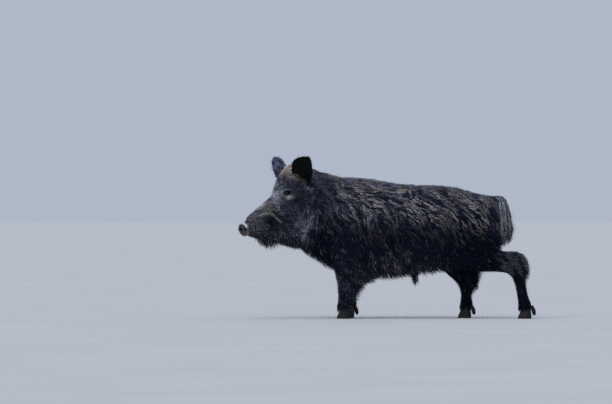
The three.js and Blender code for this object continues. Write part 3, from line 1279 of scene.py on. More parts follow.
@dataclass
class Hide:
    """The one skin that stands for all nodes of flesh, with ears, tail dock and lids joined on."""

    anatomy: Anatomy
    flesh: FleshField
    lie: Lie
    ears: tuple[Ear, ...]
    dock: Dock
    pitch: float = 8.5 * MM

    def fine(self, centres: Array, level: int) -> Array:
        """Which faces are divided, by their centres: the head first, then muzzle and eyes.

        Args:
            centres: middles of the faces.
            level: 0 for the first division, 1 for the second.

        Returns:
            Which faces are divided.
        """
        forward, _, height = self.anatomy.head.coords(centres)
        face = self.anatomy.face_share(centres) > 0.6
        if level == 0:
            return face & (forward > 0.0)
        near_eye = self.sculpt.eye_distance(centres) < 0.034
        muzzle = (forward > 0.315) & (height > self.sculpt.mouth_height(forward) - 0.02)
        return face & (near_eye | muzzle)

    def body_patch(self, field: DistanceField) -> Mesh:
        """The hide of body, legs and head, finer on the head and sculpted there.

        Args:
            field: distance to the hide.

        Returns:
            The mesh.
        """
        points, quads = field.resampled(self.pitch).surface()
        bm = bmesh.new()
        coarse = mesh_from_arrays("coarse", points, quads.ravel(), np.arange(len(quads)) * 4)
        bm.from_mesh(coarse)
        for level in range(2):
            centres = np.array([f.calc_center_median() for f in bm.faces])
            chosen = self.fine(centres, level)
            edges = {e for f, take in zip(bm.faces, chosen) if take for e in f.edges}
            bmesh.ops.subdivide_edges(bm, edges=list(edges), cuts=1, use_grid_fill=True)
            bm.faces.ensure_lookup_table()
        mesh = mesh_of(bm, "hide_body")
        co, edges = read(mesh.vertices, "co", 3), read(mesh.edges, "vertices", 2, np.int32)
        for _ in range(3):
            co = field.settle(spread(co, edges, 1, 0.5), 0.0, rounds=1)
        face = self.anatomy.face_share(co)
        forward, _, _ = self.anatomy.head.coords(co)
        taken = (face > 0.01) & (forward > 0.0)
        normals = unit(field.slope(co[taken]))
        lift = self.sculpt.push(co[taken]) * face[taken]
        co[taken] += normals * lift[:, None]
        mesh.vertices.foreach_set("co", co.astype(np.float32).ravel())
        mesh.update()
        return mesh

    def part_weights(self, points: Array) -> Array:
        """Which part each point of the body belongs to, from the nearest CAD node.

        Args:
            points: rows of points.

        Returns:
            A row for each point, with 1 at its Part.
        """
        corners, triangles, owner = flesh_nodes()
        tree = BVHTree.FromPolygons(corners.tolist(), triangles.tolist())
        weights = np.zeros((len(points), len(Part)))
        for row, point in enumerate(points.tolist()):
            weights[row, owner[tree.find_nearest(point)[2]]] = 1.0
        return weights

    def build(self) -> Pelt:
        """Makes the hide's mesh and the arrays that the coat grows from.

        Returns:
            The pelt.
        """
        field = self.flesh.build()
        head = self.anatomy.head
        self.sockets = tuple(EyeSocket.find(side, head, field) for side in Side)
        self.sculpt = FaceSculpt(head, self.sockets)
        body = self.body_patch(field)
        patches = [ear.patch(head) for ear in self.ears]
        patches.append(self.dock.patch())
        patches.extend(socket.lids(field) for socket in self.sockets)
        bm = bmesh.new()
        for mesh in [body, *(p.mesh for p in patches)]:
            bm.from_mesh(mesh)
        whole = mesh_of(bm, "hide")
        points, edges = read(whole.vertices, "co", 3), read(whole.edges, "vertices", 2, np.int32)
        normals = read(whole.vertex_normals, "vector", 3)
        count = len(body.vertices)
        weights = np.zeros((len(points), len(Part)))
        weights[:count] = self.part_weights(points[:count])
        owner = np.repeat([p.part.value for p in patches], [len(p.inner) for p in patches])
        weights[np.arange(count, len(points)), owner] = 1.0
        inner, rim = (np.concatenate([np.zeros(count), *rows])
                      for rows in ([p.inner for p in patches], [p.rim for p in patches]))
        weights = spread(weights, edges, 10)
        wanted = self.lie.field(points)
        lie = sum(weights[:, p.value, None] * unit(v) for p, v in wanted.items())
        lie[count:] = np.concatenate([p.lie for p in patches])
        for _ in range(4):
            lie = laid(lie, normals)
            lie[:count] = spread(lie, edges, 2)[:count]
        lie = laid(lie, normals)
        triangles = triangles_of(whole)
        a, b, c = (points[triangles[:, i]] for i in range(3))
        areas = np.linalg.norm(np.cross(b - a, c - a), axis=1) / 2
        return Pelt(whole, points, normals, edges, weights, lie, inner, rim, triangles, areas, field)


# ---- Colours of hide and hair ----


@dataclass(frozen=True)
class Mark:
    """A soft-edged patch of colour on both sides of the face, in millimetres of the head's measures."""

    forward: float
    height: float
    long: float
    tall: float
    tilt: float
    colour: str
    strength: float

    def share(self, forward: Array, height: Array) -> Array:
        """How strong the mark is at some forward places and heights, in metres.

        Args:
            forward: distances towards the nose.
            height: heights over the floor.

        Returns:
            The shares.
        """
        c, s = math.cos(math.radians(self.tilt)), math.sin(math.radians(self.tilt))
        ahead, up = forward / MM - self.forward, height / MM - self.height
        u = (ahead * c + up * s) / self.long
        v = (up * c - ahead * s) / self.tall
        return self.strength * np.exp(-((u * u + v * v) ** 1.5))


FACE_MARKS = (
    Mark(395, 585, 50, 50, 0, "#433f3f", 0.94),  # grey skin of the muzzle
    Mark(366, 650, 20, 22, -36, "#1b191c", 0.6),  # dark band over the nose
    Mark(322, 694, 50, 16, -36, "#fff8ec", 1.0),  # pale bridge: a painted highlight along its top
    Mark(300, 655, 46, 20, -25, "#a19a94", 0.8),  # that painted highlight fading down the side
    Mark(268, 672, 50, 32, -25, "#8b898c", 0.7),  # grizzled cheek before the eye
    Mark(248, 724, 24, 11, -40, "#141519", 0.8),  # painted shade in the hollow before the eye
    Mark(196, 752, 30, 16, 10, "#2a2d38", 0.6),  # dusky upper lid and brow over the eye
    Mark(300, 578, 38, 34, 0, "#050507", 1.0),  # black patch behind the muzzle
    Mark(345, 622, 28, 6, -15, "#a39d96", 0.7),  # painted highlight arching over that patch, along the lip's ridge over the tusk
    Mark(305, 628, 26, 7, 0, "#bdb4a8", 0.9),
    Mark(262, 606, 34, 8, 38, "#d5cabb", 0.95),
    Mark(228, 553, 20, 34, 0, "#6b625c", 0.7),  # brown smooth spot behind it
    Mark(122, 690, 50, 50, 0, "#1a2030", 0.7),  # black cheek behind the eye
    Mark(160, 610, 46, 60, 0, "#4f566a", 0.6),  # bluish cheek
    Mark(97, 834, 24, 32, 0, "#6b5a4e", 0.7),  # brown temple before the ear
    Mark(222, 786, 84, 28, -72, "#c4cadd", 0.92),  # frosted forehead
    Mark(140, 880, 48, 40, 0, "#f8ded2", 0.97),  # tan crown between the ears
    Mark(112, 580, 40, 60, 0, "#8f94ab", 0.85),  # frosted ruff of the cheek
    Mark(64, 570, 60, 7, -77, "#d8c5b8", 0.95),  # tan streak behind the ruff
    Mark(62, 784, 13, 17, 0, "#98a4b8", 0.9),  # pale tuft under the ear
    Mark(150, 462, 90, 30, 0, "#15161a", 0.7),  # dark throat
    Mark(300, 468, 70, 30, 0, "#15161a", 0.8),  # black chin
)


@dataclass(frozen=True)
class Markings:
    """The colours of the coat from place to place, shared by hide and hair."""

    anatomy: Anatomy
    sculpt: FaceSculpt
    # dark and brown are tinted blue: the hair's own near-black plus a painted sheen of the cool sky.
    dark: str = "#060d20"
    brown: str = "#282c40"
    grizzle: str = "#989db5"
    tan: str = "#dac9bb"

    def lightness(self, points: Array) -> Array:
        """Share of brown in the dark coat: browner on the back, black on belly and legs, partly the coat's
        own colour and partly painted shade under the body.

        Args:
            points: rows of points.

        Returns:
            Shares from 0 to 1.
        """
        x, _, z = self.anatomy.body(points)
        # Darker towards belly and legs: partly the coat's own colour, partly painted shade.
        high = smooth(0.50, 0.76, z) * (0.65 + 0.35 * smooth(-0.45, -0.20, x))
        low = 0.30 * smooth(0.46, 0.30, x) * smooth(-0.38, -0.26, x)
        return np.clip((high + low) * (0.5 + 0.9 * Noise(60 * MM, 11)(points)), 0, 1)

    def ripple(self, points: Array) -> Array:
        """Bands of paler hair that slant down and back over the flanks, from 0 to 1.

        Args:
            points: rows of points.

        Returns:
            Shares from 0 to 1.
        """
        x, _, z = self.anatomy.body(points)
        phase = (0.84 * x + 0.54 * z) / (66 * MM) * 2 * math.pi
        return smooth(-0.75, 0.45, np.sin(phase + 7.0 * Noise(85 * MM, 13)(points)))

    def frost(self, points: Array) -> Array:
        """Share of tufts with pale grey tips.

        Args:
            points: rows of points.

        Returns:
            Shares from 0 to 1.
        """
        x, _, z = self.anatomy.body(points)
        # More frost towards the topline: grizzled tips, and partly a painted highlight along the back.
        body = 0.11 + 0.16 * smooth(0.50, 0.74, z) + 0.26 * smooth(0.76, 0.82, z)
        body += 0.32 * smooth(-0.20, -0.30, x) * smooth(0.70, 0.84, z)
        body += 0.32 * bell(x, 0.05, 0.18) * bell(z, 0.37, 0.08)
        body += 0.28 * bell(x, -0.24, 0.13) * bell(z, 0.68, 0.13)
        body += 0.14 * smooth(0.50, 0.62, x) * smooth(0.58, 0.70, z)
        body += 0.25 * smooth(0.60, 0.64, x) * smooth(0.54, 0.62, z)
        body += 0.75 * smooth(0.62, 0.74, x) * smooth(0.24, 0.32, z)
        body += 0.25 * smooth(0.40, 0.26, z) * smooth(-0.06, -0.14, x)
        body *= 0.25 + 0.9 * self.ripple(points) + 0.4 * Noise(55 * MM, 12)(points)
        return np.clip(body, 0.01, 0.8)

    def face(self, points: Array) -> tuple[Array, Array]:
        """Colour of the face's hair and how much of it is fixed by the face's own marks.

        Args:
            points: rows of points.

        Returns:
            Rows of colours, and shares from 0 to 1.
        """
        forward, _, height = self.anatomy.head.coords(points)
        wander = (Noise(20 * MM, 21)(points) - 0.5) * 14 * MM
        colour = np.tile(srgb("#444858"), (len(points), 1))
        for mark in FACE_MARKS:
            colour = mix(colour, srgb(mark.colour), mark.share(forward + wander, height - wander))
        # Painted light on the muzzle's ridges: crests painted brighter as highlights, troughs darker as
        # shade.
        ridges, zone = self.sculpt.ridges(points)
        crest = np.clip(ridges, 0, 1)
        zone = zone * (0.55 + 0.45 * smooth(0.645, 0.60, height))
        colour = colour * (1 + np.clip(zone, 0, 1) * (2.7 * crest - 0.78))[:, None]
        for socket in self.sculpt.sockets:
            along, up, out = socket.local(points)
            near = np.where(out > -0.03, 1.0, 0.0)
            reach = np.hypot(along / (31 * MM), up / (21 * MM))
            arc = bell(reach, 1.0, 0.13) * smooth(0.008, -0.012, along - up * 0.9)
            colour = mix(colour, srgb("#a2a4ad"), arc * near * 0.85)
            fold = bell(reach, 0.72, 0.12) * smooth(0.004, -0.008, along - up * 0.9)
            colour = mix(colour, srgb("#101116"), fold * near * 0.85)
            pouch = np.hypot((along - 3 * MM) / (20 * MM), (up + 29 * MM) / (11 * MM))
            colour = mix(colour, srgb("#f8f2f2"), np.exp(-(pouch**2.4)) * near * 0.95)
            # Painted shade of the socket: a dark ring round the eye's opening.
            rim = np.hypot((along - 2 * MM) / (21 * MM), (up - 1 * MM) / (15 * MM))
            colour = mix(colour, srgb("#050507"), smooth(1.15, 0.75, rim) * near * 0.95)
        return colour, self.anatomy.face_share(points) * smooth(-0.02, 0.05, forward)

    def calm(self, points: Array) -> Array:
        """How far the face's hair is of one even colour: round the eyes and on the crown.

        Args:
            points: rows of points.

        Returns:
            Shares from 0 to 1.
        """
        near = self.sculpt.eye_distance(points)
        round_eye = 0.9 * smooth(50 * MM, 34 * MM, near)
        return np.maximum(round_eye, 0.5 * smooth(0.78, 0.83, points[:, 2]))

    def warmth(self, points: Array) -> Array:
        """How far the hair of nape and belly is tipped with tan.

        Args:
            points: rows of points.

        Returns:
            Shares from 0 to 1.
        """
        x, _, z = self.anatomy.body(points)
        belly = 0.3 * smooth(0.40, 0.33, z) * bell(x, 0.10, 0.22)
        return np.maximum(belly, smooth(-0.24, -0.33, x) * smooth(0.80, 0.86, z))

    def hide(self, pelt: Pelt) -> Array:
        """The skin's colour at each vertex of the hide, with painted shade where the hair covers it.

        Args:
            pelt: the hide.

        Returns:
            Rows of colours.
        """
        points = pelt.points
        # Painted shade: the skin is darkened under the hair, less where the muzzle is bare.
        base = mix(srgb(self.dark), srgb(self.brown), self.lightness(points)) * 0.55
        face, share = self.face(points)
        forward, _, height = self.anatomy.head.coords(points)
        bare = smooth(0.335, 0.38, forward) * smooth(0.50, 0.52, height)
        colour = mix(base, mix(face * 0.42, face * 0.9, bare), share)
        shade = mix(srgb("#060609"), self.ear_lining(points) * 0.5, pelt.inner)
        colour = mix(colour, shade, pelt.share(Part.EAR))
        near = self.sculpt.eye_distance(points)
        margin = mix(srgb("#0a0808"), face * 0.8, smooth(12.5 * MM, 17 * MM, near))
        colour = mix(colour, margin, pelt.share(Part.LID))
        return mix(colour, srgb("#2a2a2f"), pelt.share(Part.DOCK))

    def ear_lining(self, points: Array) -> Array:
        """Colour inside the ears: the left one painted near black as the shade inside it, the right one
        frosted in patches.

        Args:
            points: rows of points.

        Returns:
            Rows of colours.
        """
        _, side, _ = self.anatomy.head.coords(points)
        patches = 0.28 + 1.15 * smooth(0.36, 0.66, Noise(15 * MM, 14)(points))
        frosted = srgb("#7a80a0") * patches[:, None]
        # Painted shade: the left ear's lining is near black.
        return mix(srgb("#050609"), frosted, smooth(-0.01, 0.01, side))


# ---- Unwrap of the hide ----


@dataclass(frozen=True)
class Atlas:
    """Lays each part of the hide flat as an opened tube, in a rectangle of its own."""

    anatomy: Anatomy
    margin: float = 0.012

    def cell(self, box: Sequence[float], u: Array, v: Array) -> Array:
        """Fits shares u and v into a rectangle of the map, given as left, bottom, right and top."""
        low, high = np.array(box[:2]) + self.margin / 2, np.array(box[2:]) - self.margin / 2
        return low + np.clip(columns_of(u, v), 0, 1) * (high - low)

    def place(self, points: Array, part: Array, inner: Array) -> Array:
        """Places on the map for points of the hide.

        Args:
            points: rows of points.
            part: number of the Part that each belongs to.
            inner: 1 inside an ear.

        Returns:
            Rows of u and v.
        """
        x, y, z = self.anatomy.body(points)
        forward, side, height = self.anatomy.head.coords(points)

        def turn(across: Array, up: Array) -> Array:
            """A turn about an axis, as a share from 0 to 1."""
            return np.arctan2(across, up) / (2 * math.pi) + 0.5

        def among(*parts: Part) -> Array:
            """Which points belong to some parts."""
            return np.isin(part, [p.value for p in parts])

        trunk = turn(y + 0.05 * smooth(-0.3, -0.5, x), z - 0.55)
        out = self.cell((0, 0, 0.66, 0.76), (x + 0.58) / 1.28, trunk)
        axis = 0.66 - 0.12 * smooth(0.10, 0.44, forward)
        fore, hind = (Part.FORE_UPPER, Part.FORE_LOWER), (Part.THIGH_LEFT, Part.SHANK_LEFT)
        right = (Part.THIGH_RIGHT, Part.SHANK_RIGHT, Part.CANNON_RIGHT)
        column = 0.67 + 0.066 * ((side > 0) * 2 + (inner > 0.5))
        ear_u = (column + 0.058 * np.clip((np.abs(side) - 0.01) / 0.16, 0, 1) - 0.66) / 0.34
        cells = (
            (among(Part.HEAD, Part.LID), (0.66, 0, 1, 0.60), (forward + 0.08) / 0.56,
             turn(side, height - axis)),
            (among(*fore) & (y < 0), (0, 0.77, 0.2, 1), turn(y + 0.105, x + 0.235), z / 0.66),
            (among(*fore) & (y >= 0), (0.2, 0.77, 0.4, 1), turn(y - 0.105, x + 0.21), z / 0.66),
            (among(*right), (0.4, 0.77, 0.6, 1), turn(y - 0.105, x - 0.48), z / 0.66),
            (among(Part.CANNON_LEFT), (0.6, 0.77, 0.8, 1), turn(y + 0.105, x - 0.83), z / 0.66),
            (among(*hind), (0.8, 0.77, 1, 1), turn(y + 0.105, z - 0.45 + 0.30 * (x - 0.45)),
             (x - 0.28) / 0.6),
            (among(Part.EAR), (0.66, 0.60, 1, 0.77), ear_u, (height - 0.74) / 0.27),
            (among(Part.DOCK), (0.93, 0.60, 1, 0.77), turn(y, x - 0.71), (z - 0.4) / 0.35),
        )
        for chosen, box, u, v in cells:
            out[chosen] = self.cell(box, u, v)[chosen]
        return out


# ---- Tufts ----


@dataclass
class Tufts:
    """Many locks of one make, each a closed three-sided blade along a spine.

    A blade of one section stands on a small triangle; a longer one is drawn to a point at its root too.
    """

    spines: Array  # for each lock, its middle line's points from root to tip
    ups: Array  # for each lock, the unit vector away from the body
    widths: Array  # for each lock, its width at each point but the tip
    colours: Array  # for each lock, its colour at each point
    spots: Array  # for each lock, the place of its root on the map
    flatness: float = 0.5  # thickness as a share of width
    patch: float = 0.003  # size of a lock's patch on the map

    @property
    def sections(self) -> int:
        """Sections of each lock."""
        return self.spines.shape[1] - 1

    @property
    def pointed(self) -> int:
        """1 where the root is a point, else 0."""
        return int(self.sections > 1)

    def taken(self, chosen: Array) -> Tufts:
        """Some of the locks."""
        picked = (self.spines, self.ups, self.widths, self.colours, self.spots)
        return Tufts(*(a[chosen] for a in picked), self.flatness, self.patch)

    def vertices(self) -> Array:
        """Every lock's points: its pointed root, three for each ring, then the tip.

        Returns:
            For each lock, rows of points.
        """
        along = unit(np.diff(self.spines, axis=1))
        along = np.concatenate([along[:, :1], unit(along[:, 1:] + along[:, :-1])], axis=1)
        across = unit(np.cross(self.ups[:, None], along))
        rise = unit(np.cross(along, across)) * self.flatness
        points = [self.spines[:, 0]] * self.pointed
        for k in range(self.pointed, self.sections):
            for turn in np.radians((90, 210, 330)):
                step = across[:, k] * math.cos(turn) + rise[:, k] * math.sin(turn)
                points.append(self.spines[:, k] + step * self.widths[:, k, None] / 2)
        return np.stack([*points, self.spines[:, -1]], axis=1)

    def faces(self) -> tuple[Array, Array, Array]:
        """One lock's face corners, the first corner of each face, and the corners' map offsets.

        Returns:
            Corners, first corners and offsets.
        """
        first, rings = self.pointed, self.sections - self.pointed
        tip = first + rings * 3
        made = [] if first else [(2, 1, 0)]
        for k in range(3):
            a, b = first + k, first + (k + 1) % 3
            if first:
                made.append((b, a, 0))
            for ring in range(rings - 1):
                low, high = ring * 3, ring * 3 + 3
                made.append((a + low, b + low, b + high, a + high))
            made.append((a + rings * 3 - 3, b + rings * 3 - 3, tip))
        starts = np.cumsum([0] + [len(face) for face in made[:-1]])
        corners = np.concatenate(made)
        places = [(0.5, 0.0)] * first
        places += [(k / 2, (ring + first) / self.sections) for ring in range(rings) for k in range(3)]
        return corners, starts, np.array([*places, (0.5, 1.0)])[corners] - 0.5

    def mesh(self, name: str) -> Mesh:
        """The locks as one mesh with its tone and its map.

        Args:
            name: the mesh's name.

        Returns:
            The mesh.
        """
        corners, starts, offsets = self.faces()
        points = self.vertices()
        shift = np.arange(len(points))[:, None]
        mesh = mesh_from_arrays(
            name,
            points.reshape(-1, 3),
            (corners + shift * points.shape[1]).ravel(),
            (starts + shift * len(corners)).ravel(),
        )
        rings = np.repeat(np.arange(self.pointed, self.sections), 3)
        order = np.concatenate([[0] * self.pointed, rings, [self.sections]]).astype(int)
        paint(mesh, self.colours[:, order].reshape(-1, 3))
        spots = self.spots[:, None] + offsets * self.patch
        unwrap(mesh, spots)
        return mesh

    def piece(self, name: str, slot: str, finish: Material) -> bpy.types.Object:
        """The locks as a dressed piece."""
        LOG.info("%s: %d tufts", name, len(self.spines))
        return dressed(name, self.mesh(name), slot, finish)


@dataclass
class Roots:
    """Places in the hide where hair is set, with the hide's facts there."""

    points: Array
    normals: Array
    lie: Array
    part: Array
    inner: Array
    rim: Array
    facts: dict[str, Array]


def sow(pelt: Pelt, facts: dict[str, Array], density: Array, count: int, seed: int) -> Roots:
    """Sets roots evenly over the hide, closer where density is larger.

    Args:
        pelt: the hide.
        facts: the hair's measures at each vertex.
        density: relative number of roots for each area, at each vertex.
        count: how many roots.
        seed: of the random draws.

    Returns:
        The roots.
    """
    rng = np.random.default_rng(seed)
    total = np.cumsum(density[pelt.triangles].mean(1) * pelt.areas)
    picks = (np.arange(count) + rng.random(count)) / count * total[-1]
    chosen = np.minimum(np.searchsorted(total, picks), len(total) - 1)
    a, b = np.sqrt(rng.random(count)), rng.random(count)
    shares = columns_of(1 - a, a * (1 - b), a * b)
    corners = pelt.triangles[chosen]

    def blend(values: Array) -> Array:
        """Values of the vertices, blended at the roots."""
        picked = values[corners]
        return (picked * shares.reshape(*shares.shape, *[1] * (picked.ndim - 2))).sum(1)

    normals = unit(blend(pelt.normals))
    lie = laid(blend(pelt.lie), normals)
    part = blend(pelt.weights).argmax(1)
    measures = {key: blend(values) for key, values in facts.items()}
    return Roots(blend(pelt.points), normals, lie, part, blend(pelt.inner), blend(pelt.rim), measures)


def tree_of(points: Array) -> KDTree:
    """A search tree over rows of points.

    Args:
        points: rows of points.

    Returns:
        The tree.
    """
    tree = KDTree(len(points))
    for row, point in enumerate(points.tolist()):
        tree.insert(point, row)
    tree.balance()
    return tree


def nearest(tree: KDTree, points: Array) -> tuple[Array, Array]:
    """For rows of points, the number of the nearest point in a tree and its distance."""
    found = [tree.find(point) for point in points.tolist()]
    return np.array([f[1] for f in found]), np.array([f[2] for f in found])


@dataclass
class Clumps:
    """Small bunches, about as wide as the coat is coarse, that tufts gather into."""

    centres: Array
    draws: Array
    tree: KDTree

    @classmethod
    def spread_over(cls, pelt: Pelt, facts: dict[str, Array], seed: int) -> Clumps:
        """Sets bunches all over the hide, as close as the hair's length asks.

        Args:
            pelt: the hide.
            facts: the hair's measures at each vertex.
            seed: of the random draws.

        Returns:
            The bunches.
        """
        spacing = np.clip(0.20 * facts["length"] + 6.0 * MM, 8.0 * MM, 17 * MM)
        density = 1.0 / spacing**2
        count = int((density[pelt.triangles].mean(1) * pelt.areas).sum())
        roots = sow(pelt, facts, density, count, seed)
        draws = np.random.default_rng(seed + 1).random((6, count))
        LOG.info("%d bunches of hair", count)
        return cls(roots.points, draws, tree_of(roots.points))

    def join(self, roots: Roots) -> tuple[Array, Array]:
        """The sideways way from each root to its bunch's middle line, and the bunch's draws.

        Args:
            roots: where hair grows.

        Returns:
            Rows of vectors, and rows of random numbers.
        """
        rows, _ = nearest(self.tree, roots.points)
        way = self.centres[rows] - roots.points
        way = way - dot(way, roots.normals) * roots.normals
        return way - dot(way, roots.lie) * roots.lie, self.draws[:, rows]


@dataclass(frozen=True)
class Streaks:
    """Long locks of pale bristles that stand out of the dark coat of back, flanks and cheeks."""

    pelt: Pelt
    anatomy: Anatomy
    markings: Markings
    cheeks: bool = False  # whether these are the head's streaks
    seed: int = 41
    apart: tuple[float, float] = (52 * MM, 7.5 * MM)  # least distance along them and across them
    long: float = 82 * MM  # middle length
    steps: int = 10
    reach: float = 1.3 * MM  # how far to its sides its bristles grow
    sink: tuple[float, float, float] = (0.0, 0.0, -0.42)  # added to the lie of the coat
    tries: int = 16000

    def strength(self, points: Array) -> Array:
        """Where the streaks grow: shoulder to rump above the lower flank, or on the cheeks.

        Args:
            points: rows of points.

        Returns:
            Shares from 0 to 1.
        """
        x, _, z = self.anatomy.body(points)
        if self.cheeks:
            forward, _, height = self.anatomy.head.coords(points)
            behind = smooth(0.235, 0.17, forward) * smooth(-0.02, 0.03, forward)
            return behind * smooth(0.43, 0.49, height) * smooth(0.73, 0.65, height)
        low = 0.50 + 0.02 * smooth(0.0, -0.25, x) - 0.03 * smooth(0.30, 0.55, x)
        return smooth(low, low + 0.19, z) * smooth(-0.42, -0.20, x) * smooth(0.72, 0.68, x)

    def seeds(self) -> Roots:
        """Where streaks begin, none too near another.

        Returns:
            Their roots.
        """
        pelt = self.pelt
        head = pelt.share(Part.HEAD)
        mine = head if self.cheeks else 1.0 - pelt.share(Part.EAR, Part.LID, Part.DOCK) - head
        density = self.strength(pelt.points) * np.clip(mine, 0, 1)
        roots = sow(pelt, {}, density, self.tries, self.seed)
        order = np.random.default_rng(self.seed).permutation(len(roots.points))
        kept: list[int] = []
        for row in order.tolist():
            away = roots.points[kept] - roots.points[row]
            along = away @ roots.lie[row]
            aside = np.sqrt(np.maximum((away**2).sum(1) - along**2, 0.0))
            if not kept or ((along / self.apart[0]) ** 2 + (aside / self.apart[1]) ** 2).min() > 1:
                kept.append(row)
        pale = 0.22 + 0.78 * self.markings.ripple(roots.points[kept])
        chosen = np.array(kept)[np.random.default_rng(self.seed + 2).random(len(kept)) < pale]
        fields = (roots.points, roots.normals, roots.lie, roots.part, roots.inner, roots.rim)
        return Roots(*(values[chosen] for values in fields), {})

    def lines(self) -> Array:
        """Points along the middle of every streak.

        Returns:
            For each streak, rows of points.
        """
        pelt, roots = self.pelt, self.seeds()
        count = len(roots.points)
        rng = np.random.default_rng(self.seed + 1)
        tree = tree_of(pelt.points)
        long = self.long * (0.6 + 0.9 * rng.random(count))
        bend = np.radians(rng.normal(0, 5, count))
        wave = Noise(75 * MM, 43)
        at, path = roots.points, []
        for _ in range(self.steps):
            path.append(at)
            near, _ = nearest(tree, at)
            normal = pelt.normals[near]
            lie = laid(pelt.lie[near] + self.sink, normal)
            turn = bend + 1.5 * (wave(at) - 0.5)
            ahead = lie * np.cos(turn)[:, None] + np.cross(normal, lie) * np.sin(turn)[:, None]
            at = pelt.field.settle(at + ahead * (long / self.steps)[:, None], 0.0, rounds=1)
        LOG.info("%d streaks of pale bristles", count)
        return np.stack(path, axis=1)

    def roots(self, facts: dict[str, Array], count: int) -> Roots:
        """Where the streaks' own bristles grow.

        Args:
            facts: the hair's measures at each vertex of the hide.
            count: number of bristles.

        Returns:
            Their roots, with the streak's direction as their lie and its brightness among their facts.
        """
        pelt, lines = self.pelt, self.lines()
        rng = np.random.default_rng(self.seed + 3)
        line = np.arange(count) % len(lines)
        place = rng.random(count) * 0.8 * (self.steps - 1)
        low = place.astype(int)
        start, end = lines[line, low], lines[line, low + 1]
        points, lie = mix(start, end, place - low), unit(end - start)
        near, _ = nearest(tree_of(pelt.points), points)
        normals = pelt.normals[near]
        points = points + np.cross(normals, lie) * rng.normal(0, self.reach, count)[:, None]
        measures = {key: values[near] for key, values in facts.items()}
        glow = 0.3 + 1.15 * rng.random(len(lines))
        measures["bright"] = glow[line] * (0.16 + 0.84 * smooth(0.05, 0.9, self.strength(points)))
        measures["warm"] = rng.random(len(lines))[line]
        part = pelt.weights[near].argmax(1)
        return Roots(points, normals, lie, part, pelt.inner[near], pelt.rim[near], measures)


class Zone(Enum):
    """The stretches of hide where one kind of hair grows."""

    BODY = "body"
    STREAKS = "streaks"
    CHEEK_STREAKS = "cheek_streaks"
    FACE = "face"
    LEGS = "legs"
    EARS = "ears"
    EAR_INSIDE = "ear_inside"
    CREST = "crest"
    FOREHEAD = "forehead"
    BELLY = "belly"
    SHEATH = "sheath"
    SKIRT = "skirt"
    CORONET = "coronet"
    ELBOW = "elbow"
    HOCK = "hock"
    RUMP = "rump"
    CHEST = "chest"
    BEARD = "beard"
    RUFF = "ruff"


@dataclass(frozen=True)
class Growth:
    """One kind of hair: where it grows, how much of it, and its make."""

    name: str
    slot: str  # a label that is passed on to dressed
    zone: Zone
    count: int
    seed: int
    rings: int = 2  # sections of each tuft
    longer: float = 1.0  # factor on the coat's length
    wider: float = 1.0  # factor on the coat's width
    stand: tuple[float, float] = (0.55, 1.0)  # share of the coat's depth that the tips reach
    stray: float = 8.0  # random turn from the lie of the coat, in degrees
    droop: float = 0.0  # how far the tuft follows hang instead of the lie
    hang: tuple[float, float, float] = (0.12, 0.0, -1.0)  # direction of drooping tufts
    clump: float = 0.68  # how much the tips gather into bunches
    pale: float = 0.0  # added to the share of frosted tips
    ragged: float = 0.25  # how much whole bunches differ in length
    names: tuple[str, ...] = ()  # of its pieces from nose to tail, if it is divided


